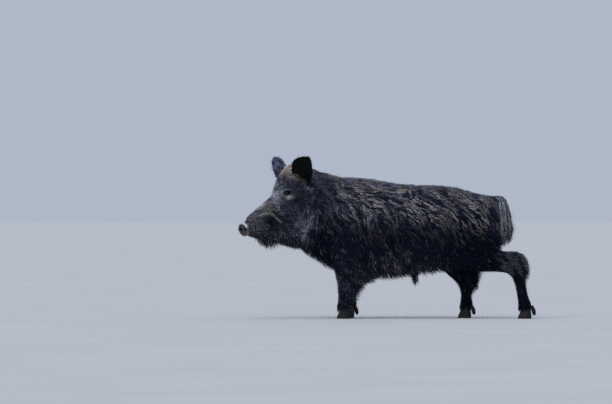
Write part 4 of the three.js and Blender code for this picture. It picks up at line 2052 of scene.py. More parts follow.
# Makes of tufts of one, two and three sections: places along the spine, their lifts and the widths.
MAKES = {
    1: ((0.0, 1.0), (0.0, 1.0), (1.0,)),
    2: ((0.0, 0.45, 1.0), (0.0, 0.62, 1.0), (0.85, 1.0)),
    3: ((0.0, 0.33, 0.68, 1.0), (0.0, 0.48, 0.85, 1.0), (0.8, 1.0, 0.72)),
}
BODY_PIECES = ("coat_neck", "coat_shoulders", "coat_ribs", "coat_loin", "coat_rump")
GROWTHS = (
    Growth("underwool", "coat", Zone.BODY, 12000, 101, rings=1, longer=0.5, wider=1.9,
           stand=(0.25, 0.50), stray=14, pale=-1.0, clump=0.3),
    Growth("coat", "coat", Zone.BODY, 86000, 102, names=BODY_PIECES),
    Growth("streaks", "coat", Zone.STREAKS, 19000, 119, longer=0.80, wider=0.70,
           stand=(0.90, 1.16), stray=3.0, clump=0.05, ragged=0.1),
    Growth("cheek_streaks", "face_hair", Zone.CHEEK_STREAKS, 6000, 120, longer=1.1, wider=0.8,
           stand=(0.8, 1.25), stray=4.0, clump=0.05, ragged=0.1),
    Growth("face_hair", "face_hair", Zone.FACE, 46000, 103, rings=1, stand=(0.4, 1.1), stray=13),
    Growth("leg_hair", "coat", Zone.LEGS, 30000, 104, rings=1, longer=1.25, stand=(0.5, 1.5), stray=12),
    Growth("ear_hair", "ear_hair", Zone.EARS, 9500, 105, rings=1, stand=(0.3, 0.8), stray=16, clump=0.2),
    Growth("ear_fringe", "ear_hair", Zone.EAR_INSIDE, 1500, 106, longer=1.9, wider=0.9,
           stand=(0.5, 1.2), stray=22, pale=0.4, clump=0.3),
    Growth("crest", "coat", Zone.CREST, 4200, 107, rings=3, longer=1.1, wider=0.8,
           stand=(0.8, 1.4), stray=13, pale=0.45),
    Growth("forehead_tuft", "face_hair", Zone.FOREHEAD, 3600, 108, rings=3, longer=1.5, wider=0.9,
           stand=(0.8, 2.1), stray=16),
    Growth("belly_fringe", "coat", Zone.BELLY, 2600, 109, rings=3, longer=1.05, wider=0.95,
           stand=(0.7, 1.25), stray=16, droop=0.6, clump=0.8, ragged=0.6),
    Growth("sheath_tuft", "coat", Zone.SHEATH, 170, 110, rings=3, longer=1.8, wider=0.8,
           stand=(0.8, 1.3), stray=4, droop=0.97, clump=0.9, ragged=0.1),
    Growth("rump_skirt", "coat", Zone.SKIRT, 1300, 117, rings=3, longer=1.5, wider=1.0,
           stand=(1.3, 3.0), stray=14, droop=0.65, hang=(0.75, 0.0, -0.75), clump=0.8, ragged=0.3),
    Growth("coronet", "coat", Zone.CORONET, 3600, 118, longer=1.9, wider=1.1,
           stand=(1.0, 2.6), stray=10, droop=0.6, ragged=0.4),
    Growth("elbow_fringe", "coat", Zone.ELBOW, 1500, 111, rings=3, longer=1.7, wider=1.0,
           stand=(0.9, 1.5), stray=14, droop=0.7, hang=(0.80, 0.0, -0.60), clump=0.8, ragged=0.6),
    Growth("hock_fringe", "coat", Zone.HOCK, 1500, 116, rings=3, longer=1.5, wider=1.0,
           stand=(0.9, 1.9), stray=16, droop=0.5, hang=(0.75, 0.0, -0.65), clump=0.8, ragged=0.5),
    Growth("rump_fringe", "coat", Zone.RUMP, 3200, 112, rings=3, longer=1.35, wider=1.0,
           stand=(0.9, 1.9), stray=12, droop=0.45, hang=(0.50, 0.0, -1.0), ragged=0.4),
    Growth("chest_fringe", "coat", Zone.CHEST, 1500, 113, rings=3, longer=1.1, wider=0.95,
           stand=(0.8, 1.4), stray=16, droop=0.45, hang=(0.25, 0.0, -1.0), clump=0.8, ragged=0.6),
    Growth("beard", "face_hair", Zone.BEARD, 1300, 114, rings=3, longer=1.55, wider=0.9,
           stand=(0.8, 1.3), stray=12, droop=0.85, clump=0.95, ragged=0.95, pale=0.5),
    Growth("cheek_ruff", "face_hair", Zone.RUFF, 3000, 115, rings=3, longer=1.4, wider=0.85,
           stand=(0.6, 1.4), stray=16, droop=0.25, clump=0.75, ragged=0.5),
)


@dataclass
class Coat:
    """All hair of the body, grown from the hide."""

    pelt: Pelt
    anatomy: Anatomy
    depth: CoatDepth
    markings: Markings
    atlas: Atlas

    def measures(self) -> dict[str, Array]:
        """Depth, length and width of the hair at each vertex of the hide.

        Returns:
            The measures by name, in metres.
        """
        pelt, points = self.pelt, self.pelt.points
        x, _, z = self.anatomy.body(points)
        trunk = 58 + 16 * smooth(0.70, 0.80, z) - 12 * smooth(0.42, 0.32, z)
        trunk = trunk - 10 * smooth(-0.10, -0.28, x) * smooth(0.78, 0.66, z)
        trunk = trunk + 14 * smooth(0.58, 0.64, x) * bell(z, 0.50, 0.05)
        forward, _, height = self.anatomy.head.coords(points)
        head = 26 - 9 * smooth(0.64, 0.74, height) + 16 * smooth(0.84, 0.88, height)
        head = head + 9 * smooth(0.54, 0.48, height) + 14 * smooth(0.10, 0.0, forward)
        head = head - 13 * smooth(0.17, 0.30, forward)
        head = np.maximum(head, 7.5) - 1.5 * smooth(0.36, 0.42, forward)
        eyes = self.markings.sculpt.eye_distance(points)
        head = head * (0.45 + 0.55 * smooth(0.018, 0.045, eyes))
        lengths = {
            Part.TRUNK: trunk, Part.NECK: 50 + 16 * smooth(0.82, 0.88, z), Part.HEAD: head,
            Part.FORE_UPPER: 36, Part.FORE_LOWER: 18, Part.THIGH_LEFT: 46, Part.THIGH_RIGHT: 46,
            Part.SHANK_LEFT: 30, Part.SHANK_RIGHT: 26, Part.CANNON_LEFT: 17, Part.CANNON_RIGHT: 17,
            Part.EAR: 12, Part.DOCK: 30, Part.LID: 4.5,
        }
        length = sum(pelt.weights[:, p.value] * value for p, value in lengths.items()) * MM
        depth = self.depth(points)
        depth = np.where(pelt.share(Part.EAR) > 0.5, 3.2 * MM, depth)
        depth = np.where(pelt.share(Part.LID) > 0.5, 1.4 * MM, depth)
        width = 1.1 * MM + 2.3 * MM * smooth(8 * MM, 60 * MM, length)
        return {"depth": depth, "length": length, "width": width}

    def zones(self) -> dict[Zone, Array]:
        """Relative number of roots for each area, at each vertex, for every kind of hair.

        Returns:
            The densities of each zone.
        """
        pelt, points = self.pelt, self.pelt.points
        x, y, z = self.anatomy.body(points)
        forward, side, height = self.anatomy.head.coords(points)
        facing = pelt.normals
        down, up = smooth(0.1, -0.5, facing[:, 2]), smooth(0.2, 0.8, facing[:, 2])
        head, ear, lid = pelt.share(Part.HEAD), pelt.share(Part.EAR), pelt.share(Part.LID)
        trunk, front = pelt.share(Part.TRUNK), pelt.share(Part.TRUNK, Part.NECK)
        thin = pelt.share(
            Part.FORE_LOWER, Part.SHANK_LEFT, Part.SHANK_RIGHT, Part.CANNON_LEFT, Part.CANNON_RIGHT
        )
        other = np.clip(1 - head - ear - lid - pelt.share(Part.DOCK), 0, 1)
        eyes = self.markings.sculpt.eye_distance(points)
        nape = head * smooth(0.13, 0.0, forward)
        disc = smooth(0.448, 0.438, forward)
        return {
            Zone.BODY: other * (1 - 0.75 * thin) + 0.9 * nape,
            Zone.LEGS: thin * (1 + 0.6 * smooth(0.2, 0.1, z)) + 0.3 * pelt.share(Part.FORE_UPPER),
            Zone.FACE: (head * disc * (1.0 + 1.1 * smooth(0.16, 0.30, forward)) + lid * 1.5)
            * smooth(11 * MM, 17 * MM, eyes),
            Zone.EARS: ear * (1.0 - 0.45 * pelt.inner + 0.8 * pelt.rim),
            Zone.EAR_INSIDE: ear * pelt.inner * (smooth(0.98, 0.80, height) + 1.6 * pelt.rim),
            Zone.CREST: other * up * smooth(0.075, 0.02, np.abs(y)) * smooth(0.66, 0.74, z),
            Zone.FOREHEAD: head * bell(side, 0.0, 0.06) * smooth(0.74, 0.80, height)
            * smooth(0.04, 0.09, forward),
            Zone.BELLY: trunk * down * smooth(0.40, 0.33, z) * smooth(-0.2, -0.1, x),
            Zone.SHEATH: trunk * down * bell(x, 0.178, 0.009) * bell(y, 0.0, 0.009),
            Zone.SKIRT: pelt.share(Part.TRUNK, Part.THIGH_LEFT, Part.THIGH_RIGHT)
            * smooth(0.59, 0.63, x) * smooth(0.1, 0.5, facing[:, 0]) * bell(z, 0.50, 0.045),
            Zone.CORONET: thin * smooth(0.048, 0.054, z)
            * np.maximum(smooth(0.088, 0.078, z), smooth(0.13, 0.11, z) * smooth(0.2, 0.7, facing[:, 0])),
            Zone.ELBOW: pelt.share(Part.FORE_UPPER, Part.FORE_LOWER)
            * smooth(0.2, 0.7, facing[:, 0]) * bell(z, 0.235, 0.085),
            Zone.HOCK: smooth(0.1, 0.7, facing[:, 0]) * (
                pelt.share(Part.SHANK_RIGHT, Part.THIGH_RIGHT, Part.CANNON_RIGHT) * bell(z, 0.235, 0.06)
                + pelt.share(Part.SHANK_LEFT, Part.CANNON_LEFT) * bell(z, 0.36, 0.09)),
            Zone.RUMP: trunk * smooth(0.610, 0.650, x) * smooth(0.36, 0.44, z) * smooth(0.765, 0.74, z)
            * (0.2 + 0.8 * np.maximum(smooth(0.2, 0.6, facing[:, 0]), smooth(0.60, 0.52, z))),
            Zone.CHEST: front * smooth(0.1, -0.4, facing[:, 2]) * smooth(-0.20, -0.26, x)
            + 0.5 * pelt.share(Part.FORE_UPPER) * smooth(0.30, 0.36, z) * smooth(-0.1, -0.5, facing[:, 0]),
            Zone.BEARD: head * down * bell(forward, 0.290, 0.040),
            Zone.RUFF: head * smooth(0.70, 0.62, height) * smooth(0.17, 0.12, forward)
            * smooth(-0.02, 0.02, forward) + 0.8 * head * down * smooth(0.26, 0.18, forward),
        }

    def comb(self, growth: Growth, roots: Roots) -> Tufts:
        """Combs and colours the tufts of one kind.

        Args:
            growth: the kind of hair.
            roots: where it grows.

        Returns:
            Its tufts.
        """
        rng = np.random.default_rng(growth.seed + 1000)
        count = len(roots.points)
        draw = rng.random((8, count))
        gather, bunch = self.clumps.join(roots)
        length = roots.facts["length"] * growth.longer * (0.78 + 0.4 * draw[0])
        length = length * (1 + growth.ragged * (bunch[0] - 0.55))
        stand = growth.stand[0] + (growth.stand[1] - growth.stand[0]) * (0.5 * draw[1] + 0.5 * bunch[1])
        rise = np.minimum(roots.facts["depth"] * stand, length * 0.82)
        turn = np.radians(rng.normal(0, growth.stray, count) + (bunch[2] - 0.5) * 22)
        across = np.cross(roots.normals, roots.lie)
        ahead = roots.lie * np.cos(turn)[:, None] + across * np.sin(turn)[:, None]
        if growth.droop:
            ahead = unit(mix(ahead, np.array(growth.hang), np.full(count, growth.droop)))
        forward = np.sqrt(np.maximum(length**2 - rise**2, (0.2 * length) ** 2))
        far = np.maximum(np.linalg.norm(gather, axis=1), 1e-6)
        toward = gather * np.minimum(growth.clump, 0.45 * length / far)[:, None]
        shares, lifts, girths = MAKES[growth.rings]
        body = ~np.isin(roots.part, [Part.EAR.value, Part.DOCK.value, Part.LID.value])
        spine = np.zeros((count, len(shares), 3))
        spine[:, 0] = roots.points - roots.normals * 1.5 * MM
        for k, (share, high) in enumerate(zip(shares[1:], lifts[1:]), 1):
            height = rise * high
            lifted = roots.points + ahead * (forward * share)[:, None] + toward * share**0.8
            lifted = lifted + roots.normals * height[:, None]
            if growth.droop == 0:
                step = self.pelt.field.settle(lifted[body], height[body]) - lifted[body]
                far = np.maximum(np.linalg.norm(step, axis=1), 1e-6)
                lifted[body] += step * np.minimum(1.0, 0.5 * length[body] / far)[:, None]
            spine[:, k] = lifted
        width = roots.facts["width"] * growth.wider * (0.75 + 0.5 * draw[2])
        widths = width[:, None] * np.array(girths)
        colours = self.colour(growth, roots, draw, bunch, np.array(shares))
        spots = self.atlas.place(roots.points, roots.part, roots.inner)
        return Tufts(spine, roots.normals, widths, colours, spots)

    def colour(self, growth: Growth, roots: Roots, draw: Array, bunch: Array, shares: Array) -> Array:
        """Colours of each tuft from root to tip.

        Args:
            growth: the kind of hair.
            roots: where it grows.
            draw: random numbers of each tuft.
            bunch: random numbers of each tuft's bunch.
            shares: places along the tuft.

        Returns:
            For each tuft, a colour at each of those places.
        """
        marks, points = self.markings, roots.points
        light = marks.lightness(points) * (0.3 + 0.7 * draw[3] + 0.8 * bunch[3])
        base = mix(srgb(marks.dark), srgb(marks.brown), np.clip(light, 0, 1))
        tip = base * (0.8 + 0.4 * draw[4] + 0.7 * bunch[4])[:, None]
        frost = marks.frost(points) + growth.pale * 0.6
        frosted = 0.72 * bunch[5] + 0.28 * draw[5] < frost
        grey = mix(srgb(marks.grizzle), srgb("#a08d78"), smooth(0.55, 0.8, bunch[3]))
        tip = np.where(frosted[:, None], mix(tip, grey, 0.25 + 0.75 * draw[6]), tip)
        tip = mix(tip, srgb("#9d8977"), marks.warmth(points) * smooth(0.45, 0.9, draw[5]))
        if "bright" in roots.facts:
            glow = roots.facts["bright"] * (0.6 + 0.6 * draw[6])
            tip = mix(srgb("#a6aac0"), srgb(marks.tan), roots.facts["warm"]) * glow[:, None]
            base = tip * 0.5
        face, share = marks.face(points)
        salt = np.where(bunch[5] < 0.34, 2.6, np.where(bunch[5] > 0.60, 0.35, 0.9))
        salt = salt * np.where(draw[5] > 0.8 - growth.pale, 2.0, 0.85)
        salt = salt * (0.40 + 1.4 * smooth(0.3, 0.7, Noise(14 * MM, 22)(points)))
        salt = mix(salt, 0.85, marks.calm(points))
        face_tip = np.minimum(face * salt[:, None] * (0.8 + 0.4 * draw[6])[:, None], 0.85)
        on_face = share * (roots.part != Part.EAR.value)
        tip = mix(tip, face_tip, on_face)
        base = mix(base, mix(face * 0.3, srgb("#08080a"), 0.5), on_face)
        if growth.zone is Zone.BEARD:
            tip = np.where((draw[5] > 0.74)[:, None], srgb("#8d929e"), tip)
        if growth.zone is Zone.CHEEK_STREAKS:
            tip = mix(face * 2.0, srgb("#a9b0c8"), 0.4) * roots.facts["bright"][:, None]
            base = tip * 0.4
        ear = (roots.part == Part.EAR.value)[:, None]
        outside = srgb("#050508") * (0.5 + 0.9 * draw[4])[:, None]
        inside = marks.ear_lining(points) * (0.5 + 1.3 * draw[6] ** 2 + 0.9 * bunch[4])[:, None]
        ear_tip = mix(outside, inside, np.clip(roots.inner * 1.2, 0, 1))
        tip, base = np.where(ear, ear_tip, tip), np.where(ear, ear_tip * 0.5, base)
        fade = smooth(0.25, 0.95, shares)
        return base[:, None] + (tip - base)[:, None] * fade[:, None]

    def build(self, finish: Material) -> None:
        """Grows every kind of hair and makes its pieces.

        Args:
            finish: its material.
        """
        facts, zones = self.measures(), self.zones()
        self.clumps = Clumps.spread_over(self.pelt, facts, 51)
        given = (self.pelt, self.anatomy, self.markings)
        streaks = {
            Zone.STREAKS: Streaks(*given),
            Zone.CHEEK_STREAKS: Streaks(*given, True, 44, (24 * MM, 7 * MM), 34 * MM, reach=1.2 * MM),
        }
        for growth in GROWTHS:
            if growth.zone in streaks:
                roots = streaks[growth.zone].roots(facts, growth.count)
            else:
                roots = sow(self.pelt, facts, zones[growth.zone], growth.count, growth.seed)
            tufts = self.comb(growth, roots)
            names = growth.names or (growth.name,)
            order = np.argsort(roots.points[:, 0], kind="stable")
            for name, chosen in zip(names, np.array_split(order, len(names))):
                tufts.taken(chosen).piece(name, growth.slot, finish)


@dataclass(frozen=True)
class Tassel:
    """The long hair of the tail, hanging from its dock in silvery strands with dark gaps."""

    dock: Dock
    atlas: Atlas
    count: int = 5200
    locks: int = 64
    seed: int = 61
    steps: int = 6
    core: float = 11 * MM

    def tufts(self) -> Tufts:
        """Hairs that leave the dock, hang down and gather into locks.

        Returns:
            The hairs.
        """
        rng = np.random.default_rng(self.seed)
        draw = rng.random((9, self.count))
        turn, out = draw[0] * 2 * math.pi, np.sqrt(draw[1])
        flat = columns_of(out * np.cos(turn), out * np.sin(turn))
        lock_turn, lock_out = rng.random(self.locks) * 2 * math.pi, np.sqrt(rng.random(self.locks)) * 0.95
        middles = columns_of(lock_out * np.cos(lock_turn), lock_out * np.sin(lock_turn))
        mine = ((flat[:, None] - middles[None]) ** 2).sum(2).argmin(1)
        lock = rng.random((5, self.locks))[:, mine]
        start = 0.735 - 0.16 * draw[2]
        end = np.maximum(start - 0.07 - 0.13 * draw[3], 0.425 + 0.10 * lock[0] ** 1.5)
        shares = np.linspace(0, 1, self.steps)
        stray = rng.normal(0, 1, (2, self.count)) * np.where(draw[7] > 0.8, 0.34, 0.10)
        spine = np.zeros((self.count, self.steps, 3))
        for k, share in enumerate(shares):
            height = start + (end - start) * share
            middle, half, width = self.dock.section(height)
            leave = smooth(-0.05, 0.30, np.float64(share))
            at = mix(flat, middles[mine], np.full((self.count, 1), 0.50 * math.sin(share * 2.4)))
            wave = 0.16 * share * np.sin(height / (13 * MM) + lock[3] * 9)
            at = at + columns_of(*(stray * share + wave))
            spine[:, k, 0] = middle + at[:, 0] * mix(np.full(self.count, self.core), half, leave)
            spine[:, k, 1] = at[:, 1] * mix(np.full(self.count, self.core), width, leave)
            swell = 20 * MM * smooth(0.66, 0.735, start) * math.sin(math.pi * min(share * 1.8, 1.0))
            spine[:, k, 0] += swell * 0.4
            spine[:, k, 2] = height + swell
        spine += self.dock.anatomy.origin
        ups = unit(columns_of(np.cos(turn), np.sin(turn), 0.12))
        widths = (1.2 + 1.3 * draw[5])[:, None] * MM * np.array([0.7, 1.0, 1.0, 0.9, 0.6])
        silver = smooth(0.34, 0.76, 0.72 * lock[1] + 0.26 * draw[6])
        tip = mix(srgb("#141828"), srgb("#d8dbe6"), silver * (0.45 + 0.55 * draw[4]))
        tip = mix(tip, srgb("#6b6058"), np.where(lock[2] < 0.2, 0.4, 0.0))
        base = tip * 0.6
        colours = base[:, None] + (tip - base)[:, None] * smooth(0.0, 0.3, shares)[:, None]
        part = np.full(self.count, Part.DOCK.value)
        spots = self.atlas.place(spine[:, 0], part, np.zeros(self.count))
        return Tufts(spine, ups, widths, colours, spots)


# ---- Snout, eyes and hooves ----


@dataclass(frozen=True)
class SnoutDisc:
    """The bare pad at the end of the snout, dished, with a painted highlight along its upper rim and two
    nostrils.
    """

    head: HeadFrame
    forward: float = 436 * MM  # place of the pad's back on the head's axis
    height: float = 540 * MM
    pitch: float = 16.0  # degrees that its face looks down
    radius: float = 42 * MM
    thickness: float = 26 * MM  # from its back to the rim of its face
    aside: float = 22.5 * MM  # distance of each nostril from the middle
    pit: float = 18 * MM  # depth of the nostrils
    columns: int = 120
    rings: int = 46

    def relief(self, across: Array, up: Array, share: Array) -> Array:
        """Height of the face over a flat pad, with its dish, rim, folds and nostrils.

        Args:
            across: distance to the head's right.
            up: distance up the pad.
            share: share of the way out to its edge.

        Returns:
            Heights, in metres.
        """
        out = -3.0 * MM * (1 - share**2)
        out += 2.0 * MM * bell(share, 0.90, 0.10) * (1 + 0.6 * smooth(0.0, 0.03, up))
        out -= 1.4 * MM * bell(across, 0, 3 * MM) * smooth(0.036, 0.0, np.abs(up))
        for side in (-1, 1):
            x = side * across - self.aside
            hole = np.hypot(x / (12.5 * MM), (up - 1 * MM) / (10.5 * MM))
            along = (x - 9 * MM) * 0.80 + (up - 8 * MM) * 0.60
            aside = (up - 8 * MM) * 0.80 - (x - 9 * MM) * 0.60
            slit = np.hypot(along / (9 * MM), aside / (2.6 * MM))
            out += 2.2 * MM * bell(hole, 1.40, 0.26)
            out -= self.pit * smooth(1.10, 0.66, hole)
            out -= 6.0 * MM * smooth(1.15, 0.5, slit) * smooth(0.7, 1.0, hole)
        return out

    def flat(self) -> Array:
        """Rings of points of the pad, given across, up and out of it.

        Returns:
            An array of rings.
        """
        turn = circle(self.columns)
        c, s = np.cos(turn), np.sin(turn)
        edge = self.radius * (np.abs(c / 1.02) ** 2.3 + np.abs(s / 0.97) ** 2.3) ** (-1 / 2.3)
        edge = edge * (1 - 0.022 * bell(turn, math.pi / 2, 0.35))
        rings = []
        for share in np.linspace(0.03, 1.0, self.rings) ** 0.85:
            across, up = edge * share * c, edge * share * s
            deep = self.thickness + self.relief(across, up, np.full_like(turn, share))
            rings.append(columns_of(across, up, deep - 3.2 * MM * smooth(0.90, 1.0, share) ** 2))
        wall = ((1.012, 0.72), (1.005, 0.55), (0.985, 0.38), (0.96, 0.20), (0.93, -0.05), (0.86, -0.45))
        for share, level in wall:
            reach = edge * share + 0.6 * MM * np.sin(turn * 11 + level * 9)
            rings.append(columns_of(reach * c, reach * s, self.thickness * level))
        return np.array(rings)

    def tones(self, flat: Array) -> Array:
        """Colours: slate skin, a pale painted highlight along the upper rim, painted black shade in the
        nostrils.

        Args:
            flat: the flat pad.

        Returns:
            Rows of colours, with those of the two end points last.
        """
        rows = flat.reshape(-1, 3)
        across, up, deep = rows.T
        reach = np.hypot(across, up) / self.radius
        skin = mix(srgb("#222226"), srgb("#3a383d"), Noise(7 * MM, 31)(rows))
        # Painted highlight: the upper rim of the pad is painted pale.
        horn = smooth(0.74, 0.95, reach) * smooth(0.05, 0.60, up / self.radius)
        horn = horn * (0.55 + 0.7 * Noise(5 * MM, 32)(rows)) * smooth(0.010, 0.018, deep)
        skin = mix(skin, srgb("#b3b1b6"), np.clip(horn, 0, 1))
        rim = smooth(0.80, 0.94, reach) * smooth(0.30, -0.4, up / self.radius) * smooth(0.012, 0.018, deep)
        skin = mix(skin, srgb("#6f635c"), rim * 0.7)
        side = mix(srgb("#55504e"), srgb("#2c2a2c"), Noise(12 * MM, 33)(rows))
        skin = mix(skin, side, smooth(0.016, 0.008, deep) * smooth(0.84, 0.92, reach))
        # Painted shade: the nostrils' pits are painted black.
        hole = smooth(0.022, 0.014, deep) * smooth(0.86, 0.80, reach)
        skin = mix(skin, srgb("#030303"), hole)
        return np.concatenate([skin, skin[:1], skin[-1:]])

    def build(self, finish: Material) -> None:
        """Makes the pad and dresses it.

        Args:
            finish: its material.
        """
        flat = self.flat()
        tilt = math.radians(self.pitch)
        rise = self.head.turn(math.sin(tilt), 0.0, math.cos(tilt))
        axis = self.head.turn(math.cos(tilt), 0.0, -math.sin(tilt))
        middle = self.head.place(np.array([self.forward]), np.array([0.0]), np.array([self.height]))
        rings = middle + flat @ np.stack([self.head.across, rise, axis])
        mesh = Shell.tube(rings).mesh("snout_disc_skin")
        paint(mesh, self.tones(flat))
        dressed("snout_disc_skin", mesh, "snout_skin", finish, "snout_disc")


@dataclass(frozen=True)
class Eyeball:
    """One eye: a ball with a bulging cornea."""

    socket: EyeSocket
    cornea: float = 6.6 * MM
    bulge: float = 1.1 * MM
    rings: int = 40
    columns: int = 48

    def build(self, finish: Material) -> None:
        """Makes the eyeball and dresses it.

        Args:
            finish: its material.
        """
        radius, side = self.socket.radius, self.socket.side.label
        turn = circle(self.columns)
        polar = np.radians(2.5 + 175 * np.linspace(0, 1, self.rings) ** 1.25)
        wide, out = radius * np.sin(polar), radius * np.cos(polar)
        out = out + self.bulge * smooth(self.cornea, self.cornea * 0.35, wide) * (polar < 1.2)
        rings = (
            self.socket.centre
            + (wide[:, None] * np.cos(turn))[..., None] * self.socket.corner
            + (wide[:, None] * np.sin(turn))[..., None] * self.socket.upright
            + out[:, None, None] * self.socket.gaze
        )
        mesh = Shell.tube(rings).mesh(f"eyeball_{side}")
        away = wide + np.where(polar > 1.6, radius, 0.0)
        values = np.concatenate([np.repeat(away, self.columns), [0.0, 2 * radius]])
        radial = mesh.attributes.new("Radial", "FLOAT", "POINT")
        radial.data.foreach_set("value", values.astype(np.float32))
        dressed(mesh.name, mesh, "eye", finish, f"eye_{side}")


@dataclass(frozen=True)
class Claw:
    """A hoof or a dewclaw, lofted through level outlines in its CAD node's box."""

    node: str
    levels: tuple[float, ...] = (0.0, 0.25, 0.65, 1.0, 1.2)  # heights of the outlines, as shares
    # At each level: toe behind the box's front, heel before its back and half width, as shares.
    toes: tuple[float, ...] = (0.0, 0.035, 0.15, 0.27, 0.40)
    heels: tuple[float, ...] = (0.02, 0.0, 0.02, 0.09, 0.25)
    halves: tuple[float, ...] = (1.0, 0.99, 0.93, 0.84, 0.55)
    pointed: float = 0.42  # how much the claw narrows to its toe
    rows: int = 28
    columns: int = 40

    @classmethod
    def dewclaw(cls, node: str) -> Claw:
        """The small raised claw behind the foot, pointing down and back.

        Args:
            node: its CAD node.

        Returns:
            The claw.
        """
        return cls(
            node, (0.0, 0.06, 0.22, 0.60, 1.0), (0.62, 0.50, 0.38, 0.24, 0.02),
            (0.16, 0.06, 0.0, 0.10, 0.50), (0.22, 0.42, 0.66, 0.80, 0.60), 0.30, 20, 28,
        )

    def build(self, finish: Material) -> None:
        """Makes the claw and dresses it.

        Args:
            finish: its material.
        """
        low, high = (np.array(v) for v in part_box(self.node))
        size = high - low
        turn = circle(self.columns)
        along = 0.5 - 0.5 * np.cos(turn)
        across = np.sign(np.sin(turn)) * np.sin(along * math.pi) ** 0.55
        across = across * (1.08 - 1.08 * self.pointed * smooth(0.35, 1.0, along))
        levels = np.linspace(0, self.levels[-1], self.rows)
        levels[1] = 0.015
        rings = np.zeros((self.rows, self.columns, 3))
        for row, level in enumerate(levels):
            toe = low[0] + size[0] * np.interp(level, self.levels, self.toes)
            heel = high[0] - size[0] * np.interp(level, self.levels, self.heels)
            half = size[1] / 2 * np.interp(level, self.levels, self.halves)
            growth = 0.45 * MM * math.sin(level * 24) * smooth(0.08, 0.2, level) - 1.2 * MM * (row == 0)
            rings[row, :, 0] = heel + (toe - heel) * along + growth * (0.5 - along) * 2
            rings[row, :, 1] = (low[1] + high[1]) / 2 + (half + growth) * across
            rings[row, :, 2] = low[2] + level * size[2]
        name = f"{self.node}_horn"
        dressed(name, Shell.tube(rings).mesh(name), "hoof_horn", finish, self.node)


# ---- Single long hairs ----


def add(
    tree: bpy.types.NodeTree, kind: str, inputs: dict[str | int, object] | None = None, **settings: object
) -> bpy.types.Node:
    """Adds a node with its settings and links.

    Args:
        tree: the node tree.
        kind: the node's type.
        inputs: for each input, a value or the socket that feeds it.
        settings: the node's own properties; stops are a colour ramp's positions and hex colours.

    Returns:
        The node.
    """
    made = tree.nodes.new(kind)
    stops = settings.pop("stops", ())
    for key, value in settings.items():
        setattr(made, key, value)
    for number, (position, colour) in enumerate(stops):
        ramp = made.color_ramp.elements
        element = ramp[number] if number < len(ramp) else ramp.new(position)
        element.position = position
        element.color = rgba(colour)
    for key, value in (inputs or {}).items():
        if isinstance(value, bpy.types.NodeSocket):
            tree.links.new(value, made.inputs[key])
        else:
            made.inputs[key].default_value = value
    return made


